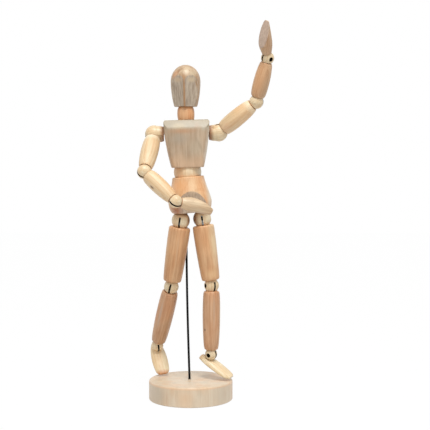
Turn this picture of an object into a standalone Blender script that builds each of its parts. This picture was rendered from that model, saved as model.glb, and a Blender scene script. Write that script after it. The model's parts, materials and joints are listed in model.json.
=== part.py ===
"""Wooden artist mannequin on a round base, posed with its left arm raised.

Metres, +Z up. The origin is the middle of the base's underside and the figure faces -Y.
Left and right are the figure's own: its right side is at -X.
"""

import math
from dataclasses import dataclass

import bmesh
import bpy
from mathutils import Matrix, Vector

# Fit between neighbouring pieces
CLEARANCE = 0.0003
TOE_GAP = 0.0013
CUTTER_REACH = 0.0040

# Base and rod
BASE_RADIUS = 0.0375
BASE_THICKNESS = 0.0175
BASE_RIM_ROUND = 0.0018
BASE_FOOT_CHAMFER = 0.0006
ROD_RADIUS = 0.00105
ROD_IN_BASE = 0.012
ROD_IN_PELVIS = 0.014
ROD_FOOT_X = -0.0011
ROD_BEHIND_HIPS = 0.0100
ROD_BESIDE_MIDDLE = 0.0048
ROD_LEAN_X = -0.0016
ROD_LEAN_Y = 0.0035
ROD_LEAN_SHARE = 0.32
ROD_UPRIGHT_SHARE = 0.42

# Pelvis
PELVIS_BOTTOM_RADIUS = 0.0148
PELVIS_RADIUS = 0.0193
PELVIS_TOP_RADIUS = 0.0142
PELVIS_HEIGHT = 0.0319
PELVIS_WIDEST_HEIGHT = 0.0095
PELVIS_FRONT_CUT = 0.0120
PELVIS_BACK_CUT = 0.0140
PELVIS_CUT_SLOPE = 15.0
PELVIS_FLANK_CURVE = 0.4
HIP_SPACING = 0.0192
HIP_BELOW_PELVIS = 0.0064

# Waist
WAIST_RADIUS = 0.0122
WAIST_GAP = 0.0082
WAIST_HALF_HEIGHT = 0.0080
WAIST_BORE_RADIUS = 0.0052

# Chest
CHEST_HEIGHT = 0.0419
CHEST_BOTTOM_HALF_WIDTH = 0.0142
CHEST_TOP_HALF_WIDTH = 0.0203
CHEST_SIDE_SWELL = 0.0012
CHEST_HALF_DEPTH = 0.0130
CHEST_CORNER_RADIUS = 0.0042
CHEST_BEVEL_HEIGHT = 0.0075
CHEST_BEVEL_DEPTH = 0.0050
SHOULDER_BELOW_TOP = 0.0118
SHOULDER_GAP = 0.0004
SHOULDER_SPOT_RADIUS = 0.0079

# Neck and head
NECK_BOTTOM_RADIUS = 0.0070
NECK_RADIUS = 0.00755
NECK_SEAT_DEPTH = 0.0030
NECK_SEAT_TAPER = 0.0010
NECK_PIVOT_ABOVE_CHEST = 0.0073
NECK_TOP_ABOVE_PIVOT = 0.0058
NECK_BORE_RADIUS = 0.0042
HEAD_HEIGHT = 0.0369
HEAD_RADIUS = 0.01315
HEAD_BOTTOM_RADIUS = 0.0100
HEAD_WIDEST_HEIGHT = 0.0222
HEAD_ABOVE_PIVOT = 0.0044
HEAD_JAW_CURVE = 0.8
FACE_CUT_DEPTH = 0.0086
FACE_CUT_SLOPE = 7.9
FACE_CUT_ANGLE = 29.0

# Balls
SHOULDER_RADIUS = 0.0079
ELBOW_RADIUS = 0.0063
WRIST_RADIUS = 0.0057
HIP_RADIUS = 0.0081
KNEE_RADIUS = 0.0066
ANKLE_RADIUS = 0.0054
SHOULDER_COLLAR_LENGTH = 0.0009
SHOULDER_COLLAR_RADIUS = 0.0074
SHOULDER_COLLAR_START = 0.0025
SHOULDER_RELIEF = 0.0053
SLOT_WIDTH = 0.0014
PIN_RADIUS = 0.0016
PIN_HOLE_RADIUS = 0.0020
PIN_RECESS = 0.0009
CUP_DISTANCE = 0.73

# Limbs, from ball centre to ball centre
UPPER_ARM_LENGTH = 0.0438
FOREARM_LENGTH = 0.0395
THIGH_LENGTH = 0.0605
SHIN_LENGTH = 0.0618
UPPER_ARM_TOP_RADIUS = 0.0062
UPPER_ARM_END_RADIUS = 0.0055
UPPER_ARM_SWELL = 0.0018
FOREARM_TOP_RADIUS = 0.0059
FOREARM_END_RADIUS = 0.0049
FOREARM_SWELL = 0.0016
THIGH_TOP_RADIUS = 0.0096
THIGH_END_RADIUS = 0.0081
THIGH_SWELL = 0.0006
SHIN_TOP_RADIUS = 0.0071
SHIN_END_RADIUS = 0.0063
SHIN_SWELL = 0.0011
LIMB_SWELL_CURVE = 0.6
LIMB_EDGE_ROUND = 0.0018
LIMB_BORE_RADIUS = 0.0024

# Hands and feet
HAND_LENGTH = 0.0328
HAND_WRIST_RADIUS = 0.0040
HAND_RADIUS = 0.0061
HAND_WIDEST_DISTANCE = 0.0165
HAND_END_TAPER = 0.0004
HAND_TIP_THICKNESS = 0.0010
HAND_CUT_SLOPE = 26.0
FOOT_HEEL = 0.0080
FOOT_TOE = 0.0266
FOOT_HALF_WIDTH = 0.0072
FOOT_SOLE_BELOW_ANKLE = 0.0088
FOOT_TOE_THICKNESS = 0.0022
FOOT_HEEL_TOP_SHARE = 0.55
FOOT_INSTEP_CURVE = 0.9
FOOT_SIDE_CURVE = 0.7
FOOT_EDGE_SHARE = 0.12
FOOT_SOLE_SHARE = 0.86

# Shares of the foot's length from its heel
FOOT_WIDEST_SHARE = 0.56
FOOT_OVAL_SHARE = 0.64
FOOT_TOE_ROUND_SHARE = 0.9
FOOT_TOE_OVAL_SHARE = 0.125

# Wires and springs
WIRE_RADIUS = 0.0004
COIL_RADIUS = 0.0015
COIL_TURNS = 4
EYE_RADIUS = 0.00225
WIRE_HEAD_RADIUS = 0.0012
WIRE_HEAD_HEIGHT = 0.0007
WIRE_HEAD_STEP = 0.0001
WIRE_NECK_LENGTH = 0.0006
WIRE_LEAD = 0.0009
SPRING_SETBACK = 0.0016
SPRING_END_ROOM = 0.0020
HOOK_SHANK = 0.0070
HOOK_HEAD_RADIUS = 0.0008
TRUNK_COIL_RADIUS = 0.00135
TRUNK_COIL_TURNS = 3
SHOULDER_COIL_TURNS = 5
SHOULDER_COIL_SHARE = 0.55
SPINE_SPRING_UP = 0.0135
SPINE_SPRING_DOWN = 0.0120
SPINE_COIL_BELOW = 0.0040
NECK_SPRING_UP = 0.0125
NECK_SPRING_DOWN = 0.0150
HIP_SPRING_LENGTH = 0.0130
HIP_BORE_RADIUS = 0.0028

# Shares of the eye's radius
EYE_THROAT_ACROSS = 0.22
EYE_THROAT_DOWN = 1.28
EYE_NECK_DOWN = 1.65

# How far the trunk's springs swing in their bores, in degrees
WAIST_BEND_ROOM = 18.0
WAIST_LEAN_ROOM = 15.0
HEAD_NOD_ROOM = 17.0

# Facets
MERGE_DISTANCE = 1e-6
BALL_SIDES = 12
BALL_BANDS = 5
LIMB_SIDES = 12
TRUNK_SIDES = 20
NECK_SIDES = 16
SPOT_SIDES = 12
BASE_SIDES = 32
ROD_STEPS = 8
CUP_STEPS = 2
BORE_SIDES = 8
WIRE_BORE_SIDES = 6
COIL_STEPS = 6
HOLLOW_SEGMENTS = 12
HOLLOW_RINGS = 8

# Colours
CREAM = (0.90, 0.71, 0.43)
TAN = (0.64, 0.39, 0.21)
BROWN = (0.58, 0.33, 0.17)
PELVIS_COLOUR = (0.80, 0.47, 0.24)
WAIST_COLOUR = (0.82, 0.60, 0.36)
CHEST_COLOUR = (0.70, 0.52, 0.36)
NECK_COLOUR = (0.78, 0.50, 0.26)
HEAD_COLOUR = (0.72, 0.58, 0.40)
BASE_COLOUR = (0.80, 0.64, 0.44)
STEEL_COLOUR = (0.55, 0.53, 0.50)
BLACK = (0.02, 0.02, 0.02)

# Pose of the trunk, in degrees
HIP_MIDDLE_X = 0.0008
PELVIS_LEAN = -4.6
PELVIS_TURN = 6.0
CHEST_LEAN = -1.6
CHEST_TURN = 3.0
HEAD_LEAN = -0.4
HEAD_TURN = -4.0

RIGHT, LEFT = "right", "left"
SIDE_SIGN = {RIGHT: -1, LEFT: 1}


@dataclass(frozen=True)
class Aim:
    """Where a piece points, in degrees: its lean from straight down toward +X, and its reach to the front."""

    lean: float
    reach: float

    def vector(self):
        lean, reach = math.radians(self.lean), math.radians(self.reach)
        flat = math.cos(reach)
        return Vector((math.sin(lean) * flat, -math.sin(reach), -math.cos(lean) * flat))


def heading(degrees):
    """A level direction, turned from the front toward +X."""
    angle = math.radians(degrees)
    return Vector((math.sin(angle), -math.cos(angle), 0))


# Pose of the limbs
UPPER_ARM_AIM = {RIGHT: Aim(-11.8, 40.5), LEFT: Aim(129.1, 15.5)}
FOREARM_AIM = {RIGHT: Aim(47.6, 20.0), LEFT: Aim(166.0, 14.0)}
HAND_AIM = {RIGHT: Aim(78.0, -20.0), LEFT: Aim(190.5, 29.0)}
THIGH_AIM = {RIGHT: Aim(-8.3, -4.0), LEFT: Aim(7.9, 0.0)}
SHIN_AIM = {RIGHT: Aim(-13.6, -19.5), LEFT: Aim(-0.3, 0.0)}
SOLE_AIM = {RIGHT: Aim(-6.0, -45.0), LEFT: Aim(-21.0, -22.0)}
FRONT_DRILLED = ("left_wrist_ball", "left_knee_ball", "left_ankle_ball")
HIP_SLOT_HEADING = {RIGHT: -6.0, LEFT: 0.0}
KNEE_SLOT_HEADING = {RIGHT: -8.0, LEFT: 29.0}
TOE_DIRECTION = {RIGHT: Aim(20.0, 42.6), LEFT: Aim(57.5, 24.0)}


# Frames

def frame_at(point, down, toward):
    """A frame whose -Z points along down and whose -Y faces toward."""
    z_axis = -down.normalized()
    y_axis = -(toward - toward.dot(z_axis) * z_axis).normalized()
    x_axis = y_axis.cross(z_axis)
    rotation = Matrix((x_axis, y_axis, z_axis)).transposed()
    return Matrix.Translation(point) @ rotation.to_4x4()


def ball_frame(child_frame, parent_down):
    """The ball above a piece: the same pin axis X, with +Z up its own bore toward the parent piece."""
    pin = child_frame.to_3x3().col[0]
    up = -(parent_down - parent_down.dot(pin) * pin).normalized()
    rotation = Matrix((pin, up.cross(pin), up)).transposed()
    return Matrix.Translation(child_frame.translation) @ rotation.to_4x4()


def leaning_frame(point, lean, turn):
    """A frame of the trunk, leaned toward +X and turned about its own upright axis."""
    turned_axes = Matrix.Rotation(math.radians(lean), 4, "Y") @ Matrix.Rotation(math.radians(turn), 4, "Z")
    return Matrix.Translation(point) @ turned_axes


def end_of(frame, length):
    return frame @ Vector((0, 0, -length))


def down_of(frame):
    return -frame.to_3x3().col[2]


def limb_chain(side, start, first_down, aims, lengths, facings):
    """Frames of three pieces in a row, each hung on the end of the last one, with the balls above them."""
    pieces, balls = [], []
    point, parent_down = start, first_down
    for aim, length, facing in zip(aims, lengths, facings):
        down = aim[side].vector()
        toward = parent_down if facing is None else facing
        piece = frame_at(point, down, toward)
        pieces.append(piece)
        balls.append(ball_frame(piece, parent_down))
        point, parent_down = end_of(piece, length), down
    return pieces, balls


def trunk_frames(hip_height):
    pelvis = leaning_frame(Vector((HIP_MIDDLE_X, 0, hip_height)), PELVIS_LEAN, PELVIS_TURN)
    waist_height = HIP_BELOW_PELVIS + PELVIS_HEIGHT + WAIST_GAP / 2
    waist = pelvis @ Matrix.Translation((0, 0, waist_height))
    chest = leaning_frame(waist.translation, CHEST_LEAN, CHEST_TURN)
    neck = chest @ Matrix.Translation((0, 0, chest_top_height() + NECK_PIVOT_ABOVE_CHEST))
    head = leaning_frame(neck.translation, HEAD_LEAN, HEAD_TURN)
    return {"pelvis": pelvis, "waist": waist, "chest": chest, "neck": neck, "head": head}


def leg_frames(side, pelvis):
    hip = pelvis @ Vector((SIDE_SIGN[side] * HIP_SPACING / 2, 0, 0))
    facings = (heading(HIP_SLOT_HEADING[side]), heading(KNEE_SLOT_HEADING[side]), TOE_DIRECTION[side].vector())
    return limb_chain(side, hip, down_of(pelvis), (THIGH_AIM, SHIN_AIM, SOLE_AIM),
                      (THIGH_LENGTH, SHIN_LENGTH, 0.0), facings)


def arm_frames(side, chest):
    outward = SIDE_SIGN[side] * (collar_end_distance() + chest_side(shoulder_height()) + SHOULDER_GAP)
    shoulder = chest @ Vector((outward, 0, shoulder_height()))
    sideways = SIDE_SIGN[side] * chest.to_3x3().col[0]
    return limb_chain(side, shoulder, sideways, (UPPER_ARM_AIM, FOREARM_AIM, HAND_AIM),
                      (UPPER_ARM_LENGTH, FOREARM_LENGTH, 0.0), (None, None, None))


def standing_height():
    """Height of the hips that leaves the lowest foot just clear of the base."""
    pelvis = trunk_frames(0.0)["pelvis"]
    sole = foot_mesh()
    lowest = min((leg_frames(side, pelvis)[0][2] @ vertex.co).z for side in SIDE_SIGN for vertex in sole.verts)
    sole.free()
    return BASE_THICKNESS + TOE_GAP - lowest


# Sizes worked out from the driving dimensions

def chest_bottom_height():
    return WAIST_GAP / 2


def chest_top_height():
    return chest_bottom_height() + CHEST_HEIGHT


def shoulder_height():
    return chest_top_height() - SHOULDER_BELOW_TOP


def chest_side(height):
    """Half the chest's width at a height above the waist."""
    share = (height - chest_bottom_height()) / CHEST_HEIGHT
    swell = CHEST_SIDE_SWELL * 4 * share * (1 - share)
    return CHEST_BOTTOM_HALF_WIDTH + (CHEST_TOP_HALF_WIDTH - CHEST_BOTTOM_HALF_WIDTH) * share + swell


def collar_end_distance():
    return SHOULDER_RADIUS + SHOULDER_COLLAR_LENGTH


def slot_floor():
    """How far the slot reaches past the ball's centre, to clear the wire's eye."""
    return EYE_RADIUS + WIRE_RADIUS + CLEARANCE


def ledge_height():
    """Where the ball's bore narrows and holds the wire's head."""
    return slot_floor() + WIRE_HEAD_HEIGHT + 2 * CLEARANCE


def pin_reach(ball_radius):
    """How far a pin's end is from its ball's centre."""
    return math.sqrt(ball_radius ** 2 - PIN_RADIUS ** 2) - PIN_RECESS


def eye_neck():
    """How far below the pin the wire is back on its piece's axis."""
    return EYE_NECK_DOWN * EYE_RADIUS


def swing(length, degrees):
    """How far the end of a spring moves sideways."""
    return length * math.tan(math.radians(degrees))


def trunk_bore_radius(length, degrees):
    """Room for a trunk spring of a length to swing."""
    return COIL_RADIUS + WIRE_RADIUS + swing(length, degrees) + CLEARANCE


def cup_radius(ball_radius, sides):
    """Radius of a faceted cup whose flats clear the ball."""
    return (ball_radius + CLEARANCE) / math.cos(math.pi / sides)


# Mesh helpers

def arc(radius, start, end, steps, centre_height=0.0):
    """Points (radius, height) on an arc about the axis, between two angles from the +Z axis."""
    points = []
    for step in range(steps + 1):
        angle = start + (end - start) * step / steps
        points.append((radius * math.sin(angle), centre_height + radius * math.cos(angle)))
    return points


def round_corner(radius, height, size_out, size_up, steps=2):
    """A convex quarter round, from its inner edge out to radius, ending size_up below height."""
    points = []
    for step in range(steps + 1):
        angle = math.pi / 2 * step / steps
        points.append((radius - size_out * (1 - math.sin(angle)), height - size_up * (1 - math.cos(angle))))
    return points


def turned(profile, sides, closed=False):
    """Spin a profile of (radius, height) points, listed down its outer side, round the Z axis."""
    mesh = bmesh.new()
    verts = [mesh.verts.new((radius, 0, height)) for radius, height in profile]
    edges = [mesh.edges.new(pair) for pair in zip(verts, verts[1:])]
    if closed:
        edges.append(mesh.edges.new((verts[-1], verts[0])))
    bmesh.ops.spin(mesh, geom=verts + edges, cent=(0, 0, 0), axis=(0, 0, 1), angle=2 * math.pi,
                   steps=sides, use_merge=True)
    tidy(mesh)
    return mesh


def tidy(mesh):
    """Merge doubled corners and turn every face outwards."""
    bmesh.ops.remove_doubles(mesh, verts=mesh.verts[:], dist=MERGE_DISTANCE)
    bmesh.ops.recalc_face_normals(mesh, faces=mesh.faces[:])
    if mesh.calc_volume(signed=True) < 0:
        bmesh.ops.reverse_faces(mesh, faces=mesh.faces[:])


def loft(sections):
    """Join rings of points, all with the same count, into one closed skin."""
    mesh = bmesh.new()
    rings = [[mesh.verts.new(point) for point in section] for section in sections]
    count = len(rings[0])
    for ring, following in zip(rings, rings[1:]):
        for i in range(count):
            j = (i + 1) % count
            mesh.faces.new((ring[i], ring[j], following[j], following[i]))
    mesh.faces.new(rings[0])
    mesh.faces.new(rings[-1])
    tidy(mesh)
    return mesh


def saw_cut(mesh, point, normal):
    """Cut away what lies past a plane and close the wood there."""
    geometry = mesh.verts[:] + mesh.edges[:] + mesh.faces[:]
    cut = bmesh.ops.bisect_plane(mesh, geom=geometry, plane_co=point, plane_no=normal, clear_outer=True)
    rim = [item for item in cut["geom_cut"] if isinstance(item, bmesh.types.BMEdge)]
    bmesh.ops.edgeloop_fill(mesh, edges=rim)
    tidy(mesh)


def ball_mesh(radius, open_end):
    """A turned ball, drilled for its pin along X from one end."""
    hole = math.asin(PIN_HOLE_RADIUS / radius)
    floor = -pin_reach(radius) - CLEARANCE
    outer = arc(radius, hole, math.pi, BALL_BANDS)
    mesh = turned(outer + [(0, floor), (PIN_HOLE_RADIUS, floor)], BALL_SIDES, closed=True)
    bmesh.ops.rotate(mesh, verts=mesh.verts[:], matrix=Matrix.Rotation(open_end * math.pi / 2, 3, "Y"))
    return mesh


def collar_mesh(end):
    """The shoulder's round collar toward the chest, flat on the side where the arm folds."""
    sections = []
    for height in (SHOULDER_COLLAR_START, end):
        ring = []
        for corner in range(BALL_SIDES):
            angle = 2 * math.pi * corner / BALL_SIDES
            across = SHOULDER_COLLAR_RADIUS * math.cos(angle)
            toward_arm = min(SHOULDER_COLLAR_RADIUS * math.sin(angle), SHOULDER_RELIEF)
            ring.append((across, toward_arm, height))
        sections.append(ring)
    return loft(sections)


def hollow(ball_radius, centre=(0, 0, 0)):
    """The faceted sphere that cuts a socket for a ball, with its flats clear of the ball."""
    flats = math.cos(math.pi / HOLLOW_SEGMENTS) * math.cos(math.pi / (2 * HOLLOW_RINGS))
    mesh = bmesh.new()
    bmesh.ops.create_uvsphere(mesh, u_segments=HOLLOW_SEGMENTS, v_segments=HOLLOW_RINGS,
                              radius=(ball_radius + CLEARANCE) / flats, matrix=Matrix.Translation(centre))
    return mesh


def rod_mesh(radius, start, end, sides=BORE_SIDES):
    """A straight round bar between two points."""
    start, end = Vector(start), Vector(end)
    mesh = bmesh.new()
    turn = (end - start).to_track_quat("Z", "Y").to_matrix().to_4x4()
    place = Matrix.Translation((start + end) / 2) @ turn
    bmesh.ops.create_cone(mesh, cap_ends=True, segments=sides, radius1=radius, radius2=radius,
                          depth=(end - start).length, matrix=place)
    return mesh


def box_mesh(low, high):
    mesh = bmesh.new()
    size = Vector(high) - Vector(low)
    place = Matrix.Translation((Vector(high) + Vector(low)) / 2) @ Matrix.Diagonal((*size, 1))
    bmesh.ops.create_cube(mesh, size=1, matrix=place)
    return mesh


# Objects

def finish(name, colour, roughness, metallic=0.0):
    material = bpy.data.materials.new(name)
    material.use_nodes = True
    shader = material.node_tree.nodes["Principled BSDF"]
    shader.inputs["Base Color"].default_value = (*colour, 1)
    shader.inputs["Roughness"].default_value = roughness
    shader.inputs["Metallic"].default_value = metallic
    return material


def pine(name, colour):
    return finish(name, colour, 0.55)


def steel(name):
    return finish(name, STEEL_COLOUR, 0.35, 1.0)


def world_frame(thing):
    """An object's frame in the world, through all its parents."""
    if thing is None:
        return Matrix.Identity(4)
    return world_frame(thing.parent) @ thing.matrix_basis


def place(thing, frame, parent=None):
    """Set an object at a world frame, under its parent."""
    bpy.context.scene.collection.objects.link(thing)
    thing.parent = parent
    thing.matrix_basis = world_frame(parent).inverted() @ frame
    return thing


def pivot(name, frame, parent=None):
    """An empty on a joint: what moves there hangs under it."""
    empty = bpy.data.objects.new(name, None)
    empty.empty_display_size = 0.01
    return place(empty, frame, parent)


def solid(name, mesh, material, parent):
    """A piece modelled in its pivot's frame."""
    data = bpy.data.meshes.new(name)
    mesh.to_mesh(data)
    mesh.free()
    data.shade_smooth()
    data.set_sharp_from_angle(angle=math.radians(35))
    data.materials.append(material)
    return place(bpy.data.objects.new(name, data), world_frame(parent), parent)


def cut(piece, cutter_name, mesh, operation="DIFFERENCE"):
    """Cut a mesh, given in the piece's frame, out of the piece, or join it on."""
    data = bpy.data.meshes.new(f"{piece.name}_{cutter_name}")
    mesh.to_mesh(data)
    mesh.free()
    cutter = place(bpy.data.objects.new(data.name, data), world_frame(piece), piece)
    cutter.hide_render = True
    cutter.display_type = "WIRE"
    boolean = piece.modifiers.new(cutter_name, "BOOLEAN")
    boolean.object = cutter
    boolean.operation = operation
    boolean.solver = "EXACT"


def wire(name, points, parent, radius=WIRE_RADIUS):
    """A round wire through (point, thickness share) pairs, in its pivot's frame."""
    curve = bpy.data.curves.new(name, "CURVE")
    curve.dimensions = "3D"
    curve.bevel_depth = radius
    curve.bevel_resolution = 0
    curve.use_fill_caps = True
    spline = curve.splines.new("POLY")
    spline.points.add(len(points) - 1)
    for target, (point, share) in zip(spline.points, points):
        target.co = (*point, 1)
        target.radius = share
    curve.materials.append(steel(name))
    return place(bpy.data.objects.new(name, curve), world_frame(parent), parent)


# Wires

def coil(top, bottom, turns=COIL_TURNS, radius=COIL_RADIUS):
    """A helix down the Z axis that starts and ends on the axis."""
    count = turns * COIL_STEPS
    points = []
    for step in range(count + 1):
        grown = min(1.0, step / 3, (count - step) / 3)
        angle = 2 * math.pi * step / COIL_STEPS
        height = top + (bottom - top) * step / count
        points.append((Vector((radius * grown * math.cos(angle), radius * grown * math.sin(angle), height)), 1.0))
    return points


def eye():
    """The wire's loop round the pin, in the slot, and its neck below."""
    points = []
    for degrees in range(-54, 235, 48):
        angle = math.radians(degrees)
        points.append((Vector((0, EYE_RADIUS * math.cos(angle), EYE_RADIUS * math.sin(angle))), 1.0))
    points.append((Vector((0, -EYE_THROAT_ACROSS * EYE_RADIUS, -EYE_THROAT_DOWN * EYE_RADIUS)), 1.0))
    points.append((Vector((0, 0, -eye_neck())), 1.0))
    return points


def swivel_head(centre, up):
    """The wire's headed end inside a ball, from above the ledge down to the head, along the bore's direction."""
    head_bottom = slot_floor() + CLEARANCE
    head_top = head_bottom + WIRE_HEAD_HEIGHT
    thick = WIRE_HEAD_RADIUS / WIRE_RADIUS
    heights = ((head_top + WIRE_NECK_LENGTH, 1.0), (head_top + WIRE_HEAD_STEP, 1.0), (head_top, thick),
               (head_bottom, thick))
    return [(centre + up * height, share) for height, share in heights]


def limb_spring(name, length, top_ball, end_ball, next_up, parent):
    """Eye on the upper pin, stretched coil in the bore, headed end in the lower ball."""
    next_centre = Vector((0, 0, -length))
    points = eye() + coil(-top_ball - SPRING_SETBACK, -length + end_ball + 2 * SPRING_SETBACK)
    points.append((next_centre + next_up * (end_ball + WIRE_LEAD), 1.0))
    points += swivel_head(next_centre, next_up)
    return wire(name, points, parent)


def hook(name, parent):
    """Eye on the pin and a shank with a headed end in the wood."""
    end = -(eye_neck() + HOOK_SHANK)
    thick = HOOK_HEAD_RADIUS / WIRE_RADIUS
    points = eye()
    points.append((Vector((0, 0, end + WIRE_HEAD_STEP)), 1.0))
    points.append((Vector((0, 0, end)), thick))
    points.append((Vector((0, 0, end - WIRE_HEAD_HEIGHT)), thick))
    return wire(name, points, parent)


# Turned limbs

def limb_mesh(length, top_ball, end_ball, top_radius, end_radius, swell):
    """A turned limb with a cup for a ball at each end and a bore right through."""
    top_cup, end_cup = cup_radius(top_ball, LIMB_SIDES), cup_radius(end_ball, LIMB_SIDES)
    top_plane, end_plane = -CUP_DISTANCE * top_ball, -length + CUP_DISTANCE * end_ball
    top_rim = math.sqrt(top_cup ** 2 - top_plane ** 2)
    end_rim = math.sqrt(end_cup ** 2 - (CUP_DISTANCE * end_ball) ** 2)
    top_round = min(LIMB_EDGE_ROUND, top_radius - top_rim - CLEARANCE)
    end_round = min(LIMB_EDGE_ROUND, end_radius - end_rim - CLEARANCE)
    outer = round_corner(top_radius, top_plane, top_round, top_round)
    rings = 4
    for ring in range(1, rings):
        share = ring / rings
        height = top_plane - top_round + (end_plane + end_round - top_plane + top_round) * share
        belly = swell * (4 * share * (1 - share)) ** LIMB_SWELL_CURVE
        outer.append((top_radius + (end_radius - top_radius) * share + belly, height))
    lower = round_corner(end_radius, -end_plane, end_round, end_round)
    outer += [(radius, -height) for radius, height in reversed(lower)]
    bore_angle_end = math.asin(LIMB_BORE_RADIUS / end_cup)
    rim_angle_end = math.asin(end_rim / end_cup)
    end_hollow = arc(end_cup, rim_angle_end, bore_angle_end, CUP_STEPS, -length)
    bore_angle_top = math.pi - math.asin(LIMB_BORE_RADIUS / top_cup)
    rim_angle_top = math.pi - math.asin(top_rim / top_cup)
    top_hollow = arc(top_cup, bore_angle_top, rim_angle_top, CUP_STEPS)
    return turned(outer + end_hollow + top_hollow, LIMB_SIDES, closed=True)


# Balls

def ball(name, radius, frame, parent, colour, collar_end=None):
    """A slotted ball on its turning pivot, drilled for its pin and bored for the parent's wire."""
    turn = pivot(f"{name}_turn", frame, parent)
    faces_front = frame.to_3x3().col[0].y < 0
    open_end = 1 if faces_front == (name in FRONT_DRILLED) else -1
    piece = solid(name, ball_mesh(radius, open_end), pine(name, colour), turn)
    over = 2 * radius
    if collar_end is not None:
        cut(piece, "collar", collar_mesh(collar_end), "UNION")
        over = 2 * collar_end
    cut(piece, "slot", box_mesh((-SLOT_WIDTH / 2, -over, -over), (SLOT_WIDTH / 2, over, slot_floor())))
    bore = WIRE_RADIUS + CLEARANCE
    pocket = WIRE_HEAD_RADIUS + CLEARANCE
    inside = slot_floor() - CLEARANCE
    ledge = ledge_height()
    steps = ((0, over), (bore, over), (bore, ledge), (pocket, ledge), (pocket, inside), (0, inside))
    cut(piece, "wire_bore", turned(steps, WIRE_BORE_SIDES))
    half = pin_reach(radius)
    pin_name = name.replace("ball", "pin")
    solid(pin_name, rod_mesh(PIN_RADIUS, (-half, 0, 0), (half, 0, 0)), steel(pin_name), turn)
    return turn


def fold_pivot(name, frame, parent):
    """The lower piece's pivot, on the ball's pin."""
    return pivot(f"{name}_fold", frame, parent)


# Hands and feet

def hand_mesh():
    """A turned hand, cut off at a slant like a quill so that the palm is flat and the fingertips thin."""
    start = CUP_DISTANCE * WRIST_RADIUS
    swell = HAND_WIDEST_DISTANCE - start
    outer = [(0, -start), (HAND_WRIST_RADIUS, -start)]
    for step in range(1, 5):
        angle = math.pi / 2 * step / 4
        radius = HAND_WRIST_RADIUS + (HAND_RADIUS - HAND_WRIST_RADIUS) * math.sin(angle)
        outer.append((radius, -start - swell * step / 4))
    tip_radius = HAND_RADIUS - HAND_END_TAPER
    outer += [(tip_radius, -HAND_LENGTH), (0, -HAND_LENGTH)]
    mesh = turned(outer, LIMB_SIDES)
    slope = math.radians(HAND_CUT_SLOPE)
    saw_cut(mesh, (0, HAND_TIP_THICKNESS - tip_radius, -HAND_LENGTH), (0, math.cos(slope), -math.sin(slope)))
    return mesh


def foot_mesh():
    """A wedge: round heel, high instep at the ankle, thin rounded toe, flat sole."""
    top_at_ankle = FOOT_SOLE_BELOW_ANKLE - CUP_DISTANCE * ANKLE_RADIUS
    length = FOOT_HEEL + FOOT_TOE
    ankle = FOOT_HEEL / length
    sections = []
    for share in (0, 0.06, ankle, 0.4, FOOT_WIDEST_SHARE, 0.76, FOOT_TOE_ROUND_SHARE, 0.97, 1.0):
        width = FOOT_HALF_WIDTH * math.sqrt(1 - ((share - FOOT_WIDEST_SHARE) / FOOT_OVAL_SHARE) ** 2)
        if share > FOOT_TOE_ROUND_SHARE:
            width *= math.sqrt(1 - ((share - FOOT_TOE_ROUND_SHARE) / FOOT_TOE_OVAL_SHARE) ** 2)
        if share < ankle:
            rise = math.sin(math.pi / 2 * share / ankle)
            top = top_at_ankle * (FOOT_HEEL_TOP_SHARE + (1 - FOOT_HEEL_TOP_SHARE) * rise)
        else:
            fall = math.cos(math.pi / 2 * (share - ankle) / (1 - ankle)) ** FOOT_INSTEP_CURVE
            top = FOOT_TOE_THICKNESS + (top_at_ankle - FOOT_TOE_THICKNESS) * fall
        sections.append(foot_section(FOOT_HEEL - length * share, width, top))
    return loft(sections)


def foot_section(along, width, top):
    """A D-shaped section: flat below, rounded sides and top."""
    ring = []
    for corner in range(9):
        angle = math.pi * corner / 8
        across = width * math.cos(angle)
        lift = top * math.sin(angle) ** FOOT_SIDE_CURVE if 0 < corner < 8 else FOOT_EDGE_SHARE * top
        ring.append((across, along, -FOOT_SOLE_BELOW_ANKLE + lift))
    ring.append((-FOOT_SOLE_SHARE * width, along, -FOOT_SOLE_BELOW_ANKLE))
    ring.append((FOOT_SOLE_SHARE * width, along, -FOOT_SOLE_BELOW_ANKLE))
    return ring


def end_piece(name, mesh, ball_radius, frame, parent, colour):
    """A hand or foot on the last ball, with its cup and its hook."""
    fold = fold_pivot(name, frame, parent)
    piece = solid(name, mesh, pine(name, colour), fold)
    cut(piece, "cup", hollow(ball_radius))
    deep = eye_neck() + HOOK_SHANK + WIRE_HEAD_HEIGHT + CLEARANCE
    cut(piece, "shank_bore", rod_mesh(HOOK_HEAD_RADIUS + CLEARANCE, (0, 0, 0), (0, 0, -deep)))
    hook(f"{name}_hook", fold)


# Arms and legs

def limb(name, frame, parent, sizes, next_ball, colour):
    """One turned limb with its spring, on its fold pivot."""
    fold = fold_pivot(name, frame, parent)
    length, top_ball, end_ball, top_radius, end_radius, swell = sizes
    solid(name, limb_mesh(length, top_ball, end_ball, top_radius, end_radius, swell), pine(name, colour), fold)
    next_up = frame.to_3x3().inverted() @ next_ball.to_3x3().col[2]
    limb_spring(f"{name}_spring", length, top_ball, end_ball, next_up, fold)
    return fold


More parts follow.
